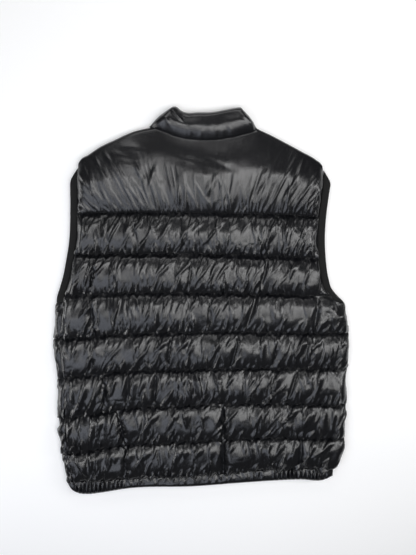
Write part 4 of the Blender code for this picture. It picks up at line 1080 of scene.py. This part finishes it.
makeCollar()


hem = {
    "middleY": -352.0,
    "pitch": 8.4, "depth": 4.2,
    "gathered": ((-262, -150), (142, 258)), "gatherFade": 9,
    "between": 0.35,         # share of the depth where the band isn't gathered
    "slant": 2.0,
    "foldDrop": 0.6,         # the folds' sides stay this far under the quilting line
    "tuckPast": 9,           # the tucks start and end this far past the flat part
    "walls": [(0, 2.4), (0.07, 5.2), (0.2, 7.4), (0.35, 7.9), (0.55, 7.1), (0.8, 5.0), (1, 2.8)],
    "tuck": {"pitch": 9, "length": (8, 24), "width": (4, 10), "height": 0.3, "lean": 0.1,
             "leanSpread": 0.5, "fan": 0.0, "steep": 0.5, "sameWay": 0.6, "rootRise": 2, "rootShare": 0},
    "wanderClouds": [(2.6, 17, 0, 3, 61)], "slantClouds": [(1, 9, 0, 7, 62)],
    "depthClouds": [(0.45, 11, 1.3, 0, 63)], "looseClouds": [(0.5, 7, 2, 0, 64), (0.5, 19, 1.5, 0, 65)],
    "frontShare": 0.25,      # of the ruffles, on the fronts
    "thinnest": 1.2,         # wall, however deep a valley between ruffles
    "columnStep": 0.85, "rows": 15, "foldColumns": 9,
}
hemWall = smoothCurve(hem["walls"])


def gathers(x, up):
    # ruffles of the elastic: round ridges with sharp valleys, each of its own width and slant
    # ridge = |sin(pi x place / pitch)| ** 0.75 - 0.62 where the band is gathered, and soft lumps between
    slant = hem["slant"] * (up - 0.5) * clouds(x, up, hem["slantClouds"])
    place = x + clouds(x, up, hem["wanderClouds"]) + slant
    valley = 0.62 - np.abs(np.sin(np.pi * place / hem["pitch"])) ** 0.75
    ridge = -valley * (1 + clouds(x, up, hem["depthClouds"]))
    inside = [np.minimum(x - low, high - x) for low, high in hem["gathered"]]
    share = sum(np.clip(width / hem["gatherFade"], 0, 1) for width in inside)
    loose = clouds(x, up, hem["looseClouds"])
    return hem["depth"] * (ridge * share + hem["between"] * loose * (1 - 0.6 * share))


def makeHem(side):
    # side 0 is the back's band, -1 and 1 are those of the fronts; a grid from the lower edge up to the lowest
    # quilting line: z = middle + gap + (wall + ruffle) x sin(turn), or downwards from the middle for a front
    leftFold, rightFold = (float(outline(np.array(hem["middleY"]), end)) for end in (-1, 1))
    reach = vest["foldReach"]
    left = leftFold + reach if side <= 0 else vest["zipX"] + vest["zipHalf"]
    right = rightFold - reach if side >= 0 else vest["zipX"] - vest["zipHalf"]
    step = hem["columnStep"] if side == 0 else 2 * hem["columnStep"]
    x = np.linspace(left, right, round((right - left) / step))
    turn = np.linspace(math.pi / 2, 0, hem["foldColumns"])
    pieces = [(x, np.full_like(x, math.pi / 2))]
    if side <= 0:
        pieces.insert(0, (left - reach * np.cos(turn[:0:-1]), turn[:0:-1]))
    if side >= 0:
        pieces.append((right + reach * np.cos(turn[1:]), turn[1:]))
    x, turn = (np.concatenate(column) for column in zip(*pieces))
    up = np.linspace(0, 1, hem["rows"])[:, None]
    sign = 1 if side == 0 else -1
    gap = vest["inside"] - vest["midLevel"]
    low = hemEdge(x)
    top = quiltLines[0](np.clip(x, leftFold + 2, rightFold - 2)) - vest["seamGap"]
    inset = hem["foldDrop"] * (1 - np.sin(turn))
    y = low + (top - inset - low) * up
    ruffle = gathers(x[None] + 0 * up, up + 0 * x[None]) * np.sin(np.pi * (0.1 + 0.8 * up))
    ruffle = ruffle * (1 if side == 0 else hem["frontShare"])
    if side == 0:
        down = (1 - up) * (top - low)
        span = (left - hem["tuckPast"], right + hem["tuckPast"])
        ruffle = ruffle + foldsFrom(x[None] + 0 * up, down, span, hem["tuck"], 61)
    wall = hemWall(up) + ruffle
    y = y + (0.25 * ruffle * (1 - up) if side == 0 else 0)
    z = vest["midLevel"] + sign * (gap + np.maximum(wall, hem["thinnest"]) * np.sin(turn))
    cloth = np.stack([x[None] + 0 * y, y, z], -1)
    if side != 0:
        cloth = cloth[:, ::-1]
    points, faces = shellOnLevel(cloth, vest["midLevel"] + sign * gap * 0.9)
    name, node = {0: ("hemBackBand", "hem_back"), -1: ("hemLeftBand", "hem_front_left"),
                  1: ("hemRightBand", "hem_front_right")}[side]
    piece = newPiece(name, points, faces, blackNylon)
    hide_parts(node)


for hemSide in (0, -1, 1):
    makeHem(hemSide)
print("hem gathered")


binding = {
    "stations": 150, "foldStations": 9, "corners": 24, "puckerPitch": 6.5, "pucker": 0.35,
    "seamInset": 2.2, "groove": 0.5, "grooveWidth": 0.6,    # of the stitched line
    "cutLength": 22,                    # its end turns to the shoulder's slope over this length
    "underarmX": 250.0, "underarmGap": 0.5,
}


def makeBinding(side):
    # a rounded flat section carried up the back's edge, over the shoulder, down the front's edge and round
    # the underarm: point = path + beside along x + (above + pucker + groove) along the path's normal
    gap, width, thick = vest["seamGap"], vest["bindingWidth"], vest["bindingThickness"]
    underarm = rowY(np.array([vest["underarmRow"]]), np.array([binding["underarmX"] * side]))[0]
    bottom = underarm + thick / 2 + binding["underarmGap"]
    topX = outline(np.array(vest["bindingTop"]), side) - side * width / 2
    topY = topEdge(topX) - 2 * thick
    y = np.linspace(bottom, topY, binding["stations"])
    outer = outline(y, side)
    centre = np.stack([outer - side * width / 2, y], -1)
    half, radius = thick / 2, gap / 2 + thick / 2
    path, normal = [], []
    for step in (1, -1):
        run = centre[::step]
        path.append(np.column_stack([run, np.full(len(run), vest["midLevel"] + step * radius)]))
        normal.append(np.tile([0.0, 0.0, step], (len(run), 1)))
        along = (run[-1] - run[-2]) / np.linalg.norm(run[-1] - run[-2])
        angle = np.linspace(math.pi / 2, -math.pi / 2, binding["foldStations"] + 2)[1:-1, None] * step
        bend = np.hstack([along * np.cos(angle), np.sin(angle)])
        end = np.column_stack([np.repeat(run[-1:], len(angle), 0), np.full(len(angle), vest["midLevel"])])
        path.append(end + radius * bend)
        normal.append(bend)
    path, normal = np.concatenate(path), np.concatenate(normal)
    angle = np.linspace(0, 2 * math.pi, binding["corners"] + 1)[:-1]
    beside = np.sign(np.cos(angle)) * np.abs(np.cos(angle)) ** 0.45 * width / 2
    above = np.sign(np.sin(angle)) * np.abs(np.sin(angle)) ** 0.75 * half
    way = np.arange(len(path))[:, None] * (2 * (topY - bottom) / len(path))
    pucker = binding["pucker"] * cloudNoise(way / binding["puckerPitch"] + 9 * side, beside[None] / 9 + 5, 71)
    fromSeam = beside * side + width / 2 - binding["seamInset"]
    groove = -binding["groove"] * np.exp(-(fromSeam / binding["grooveWidth"]) ** 2) * (above > 0)
    points = path[:, None] + np.array([1.0, 0, 0]) * beside[None, :, None]
    points = points + normal[:, None] * (above[None] + pucker + groove[None])[..., None]
    # its end is cut along the shoulder
    slope = (topEdge(topX + 3) - topEdge(topX - 3)) / 6
    near = np.clip((path[:, 1] - topY + binding["cutLength"]) / binding["cutLength"], 0, 1)
    points[..., 1] += near[:, None] * slope * beside[None]
    index = np.arange(points.shape[0] * points.shape[1]).reshape(points.shape[:2])
    after, aside = np.roll(index, -1, 0), np.roll(index, -1, 1)
    faces = np.stack([index, aside, np.roll(aside, -1, 0), after], -1).reshape(-1, 4)
    name, node = {-1: ("bindingLeft", "armhole_binding_left"),
                  1: ("bindingRight", "armhole_binding_right")}[side]
    piece = newPiece(name, points.reshape(-1, 3), faces, blackElastic)
    faceOutward(piece)
    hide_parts(node)
    seam = centre + [-side * (width / 2 - binding["seamInset"]), 0]
    return np.column_stack([seam, np.full(len(seam), vest["midLevel"] + gap / 2 + thick - 0.25)])


bindingSeams = [makeBinding(side) for side in (-1, 1)]
print("armholes bound")


sewing = {"pitch": 3.3, "length": 2.5, "thickness": 0.28, "sink": 0.45, "corners": 5}


def stitchesAlong(line):
    # short thread beads, end to end along a line; each is a tube that narrows to its ends:
    # point = centre + fat x (wide x cos + tall x sin)
    way = np.concatenate([[0], np.cumsum(np.linalg.norm(np.diff(line, axis=0), axis=1))])
    count = int(way[-1] / sewing["pitch"])
    middle = (np.arange(count) + 0.5) * sewing["pitch"]
    part = np.array([-0.5, -0.3, 0.0, 0.3, 0.5])
    fat = np.array([0.12, 0.42, 0.5, 0.42, 0.12]) * sewing["thickness"]
    at = middle[:, None] + part * sewing["length"]
    centre = np.stack([np.interp(at, way, line[:, k]) for k in range(3)], -1)
    centre[..., 2] += fat * 0.9 - sewing["sink"]
    along = centre[:, -1] - centre[:, 0]
    along /= np.linalg.norm(along, axis=1, keepdims=True)
    wide = np.cross(along, [0.0, 0.0, 1.0])
    wide /= np.linalg.norm(wide, axis=1, keepdims=True)
    tall = np.cross(wide, along)
    angle = (np.arange(sewing["corners"]) * 2 * math.pi / sewing["corners"])[None, None, :, None]
    ring = wide[:, None, None] * np.cos(angle) + tall[:, None, None] * np.sin(angle)
    points = centre[:, :, None] + ring * fat[None, :, None, None]
    return points.reshape(-1, 3), tubeFaces(count, len(part), sewing["corners"])


def makeStitches(name, lines):
    points, faces, first = [], [], 0
    for line in lines:
        beads, beadFaces = stitchesAlong(line)
        points.append(beads)
        faces += [[corner + first for corner in face] for face in beadFaces]
        first += len(beads)
    newPiece(name, np.concatenate(points), faces, blackThread)


makeStitches("quiltStitches", seamLines.values())
makeStitches("sideStitches", [line for k, line in leftSeamLines.items() if k < vest["underarmRow"]])
makeStitches("bindingStitches", bindingSeams)
print("lines sewn")


# tooth is one tooth's width, length along the chain and height
zipper = {
    "pitch": 1.9, "bottomY": -355.0, "topY": 301.0, "level": 9.9,
    "tooth": (3.4, 1.25, 2.3), "overlap": 0.9,
}


def makeTeeth():
    # moulded teeth in two rows that mesh: each is an eight-cornered section carried along x, with a waist
    count = int((zipper["topY"] - zipper["bottomY"]) / zipper["pitch"])
    width, length, height = zipper["tooth"]
    # at each place along the tooth, from its outer end past the waist to the head, half its length
    profile = np.array([(-0.5, 0.42), (-0.15, 0.3), (0.25, 0.5), (0.5, 0.36)])
    section = np.array([
        (-1, -0.6), (-0.7, -1), (0.7, -1), (1, -0.6), (1, 0.6), (0.7, 1), (-0.7, 1), (-1, 0.6)])
    x = np.repeat(profile[:, 0] * width, len(section))
    y = (profile[:, 1:] * length * section[None, :, 0]).ravel()
    z = np.tile(section[:, 1] * height / 2, len(profile))
    tooth = np.column_stack([x, y, z])
    number = np.arange(count)
    side = np.where(number % 2, 1.0, -1.0)
    points = np.repeat(tooth[None], count, 0)
    points[..., 0] *= -side[:, None]
    points[..., 0] += (vest["zipX"] + side * (width / 2 - zipper["overlap"]))[:, None]
    points[..., 1] += (zipper["bottomY"] + (number + 0.5) * zipper["pitch"])[:, None]
    points[..., 2] += zipper["level"]
    faces = tubeFaces(count, len(profile), len(section))
    piece = newPiece("zipTeeth", points.reshape(-1, 3), faces, blackPlastic)
    faceOutward(piece)
    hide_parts("zip_chain")


makeTeeth()
for node, finish in (("zip_tape_left", blackTape), ("zip_tape_right", blackTape),
                     ("zip_slider", blackenedMetal), ("zip_pull", blackenedMetal)):
    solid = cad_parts[node]
    for place in solid.material_slots:
        place.material = finish
print("zip closed")


# colour and glow of the floor, half its width and its level in metres, strength of the white surroundings
studio = {
    "floor": (0.95, 0.95, 0.95, 1), "floorGlow": 0.15, "floorHalf": 3.0, "floorLevel": -0.0003,
    "world": 0.08,
}
# place and size in metres, power in watts and colour of each panel
panels = {
    "key": ((0.25, 0.065, 1.12), (0.75, 0.43), 4.7, (1, 1, 1)),
    "side": ((-0.32, 0.065, 1.12), (0.38, 0.43), 1.2, (1, 1, 1)),
    "half": ((0.10, 0.40, 1.13), (1.02, 0.24), 2.2, (1, 1, 1)),
    "fill": ((-0.5, -0.41, 1.05), (1.05, 0.54), 4.0, (0.83, 0.88, 1)),
    "low": ((-1.0, -0.08, 0.15), (0.9, 0.16), 3.2, (1, 1, 1)),
    "high": ((-0.1, 1.22, 0.78), (0.9, 0.36), 2.8, (1, 1, 1)),
    "right": ((1.0, 0.22, 0.8), (0.35, 0.55), 4.5, (1, 1, 1)),
}
# distance and target in metres, lens and sensor in mm
view = {
    "distance": 1.166, "tilt": math.radians(11), "target": (0.0141, 0.0671, 0.0194),
    "lens": 40.0, "sensor": 36.0,
}


def makeFloor():
    half, level = studio["floorHalf"], studio["floorLevel"]
    corners = [(-half, -half, level), (half, -half, level), (half, half, level), (-half, half, level)]
    mesh = bpy.data.meshes.new("floor")
    mesh.from_pydata(corners, [], [(0, 1, 2, 3)])
    floor = bpy.data.objects.new("floor", mesh)
    bpy.context.scene.collection.objects.link(floor)
    finish = newFinish("paleFloor", {
        "Base Color": studio["floor"], "Roughness": 0.9,
        "Emission Color": studio["floor"], "Emission Strength": studio["floorGlow"]})[0]
    mesh.materials.append(finish)


def makeLight(name):
    # a soft rectangle that faces the origin
    place, size, power, colour = panels[name]
    lamp = bpy.data.lights.new(name, "AREA")
    lamp.shape = "RECTANGLE"
    lamp.size, lamp.size_y = size
    lamp.energy, lamp.color = power, colour
    light = bpy.data.objects.new(name, lamp)
    bpy.context.scene.collection.objects.link(light)
    light.location = place
    light.rotation_mode = "QUATERNION"
    light.rotation_quaternion = Vector(place).to_track_quat("Z", "Y")
    light.visible_camera = False


def makeCamera():
    data = bpy.data.cameras.new("camera")
    data.lens, data.sensor_width, data.sensor_fit = view["lens"], view["sensor"], "AUTO"
    camera = bpy.data.objects.new("camera", data)
    bpy.context.scene.collection.objects.link(camera)
    away = Vector((0, math.sin(view["tilt"]), math.cos(view["tilt"])))
    up = Vector((0, math.cos(view["tilt"]), -math.sin(view["tilt"])))
    turned = Matrix((Vector((1, 0, 0)), up, away)).transposed().to_4x4()
    turned.translation = Vector(view["target"]) + view["distance"] * away
    camera.matrix_world = turned
    bpy.context.scene.camera = camera


makeFloor()
for panelName in panels:
    makeLight(panelName)
world = bpy.data.worlds.new("studio")
world.use_nodes = True
world.node_tree.nodes["Background"].inputs["Strength"].default_value = studio["world"]
world.node_tree.nodes["Background"].inputs["Color"].default_value = (1, 1, 1, 1)
bpy.context.scene.world = world
bpy.context.scene.view_settings.view_transform = "Standard"
makeCamera()
print("studio lit")
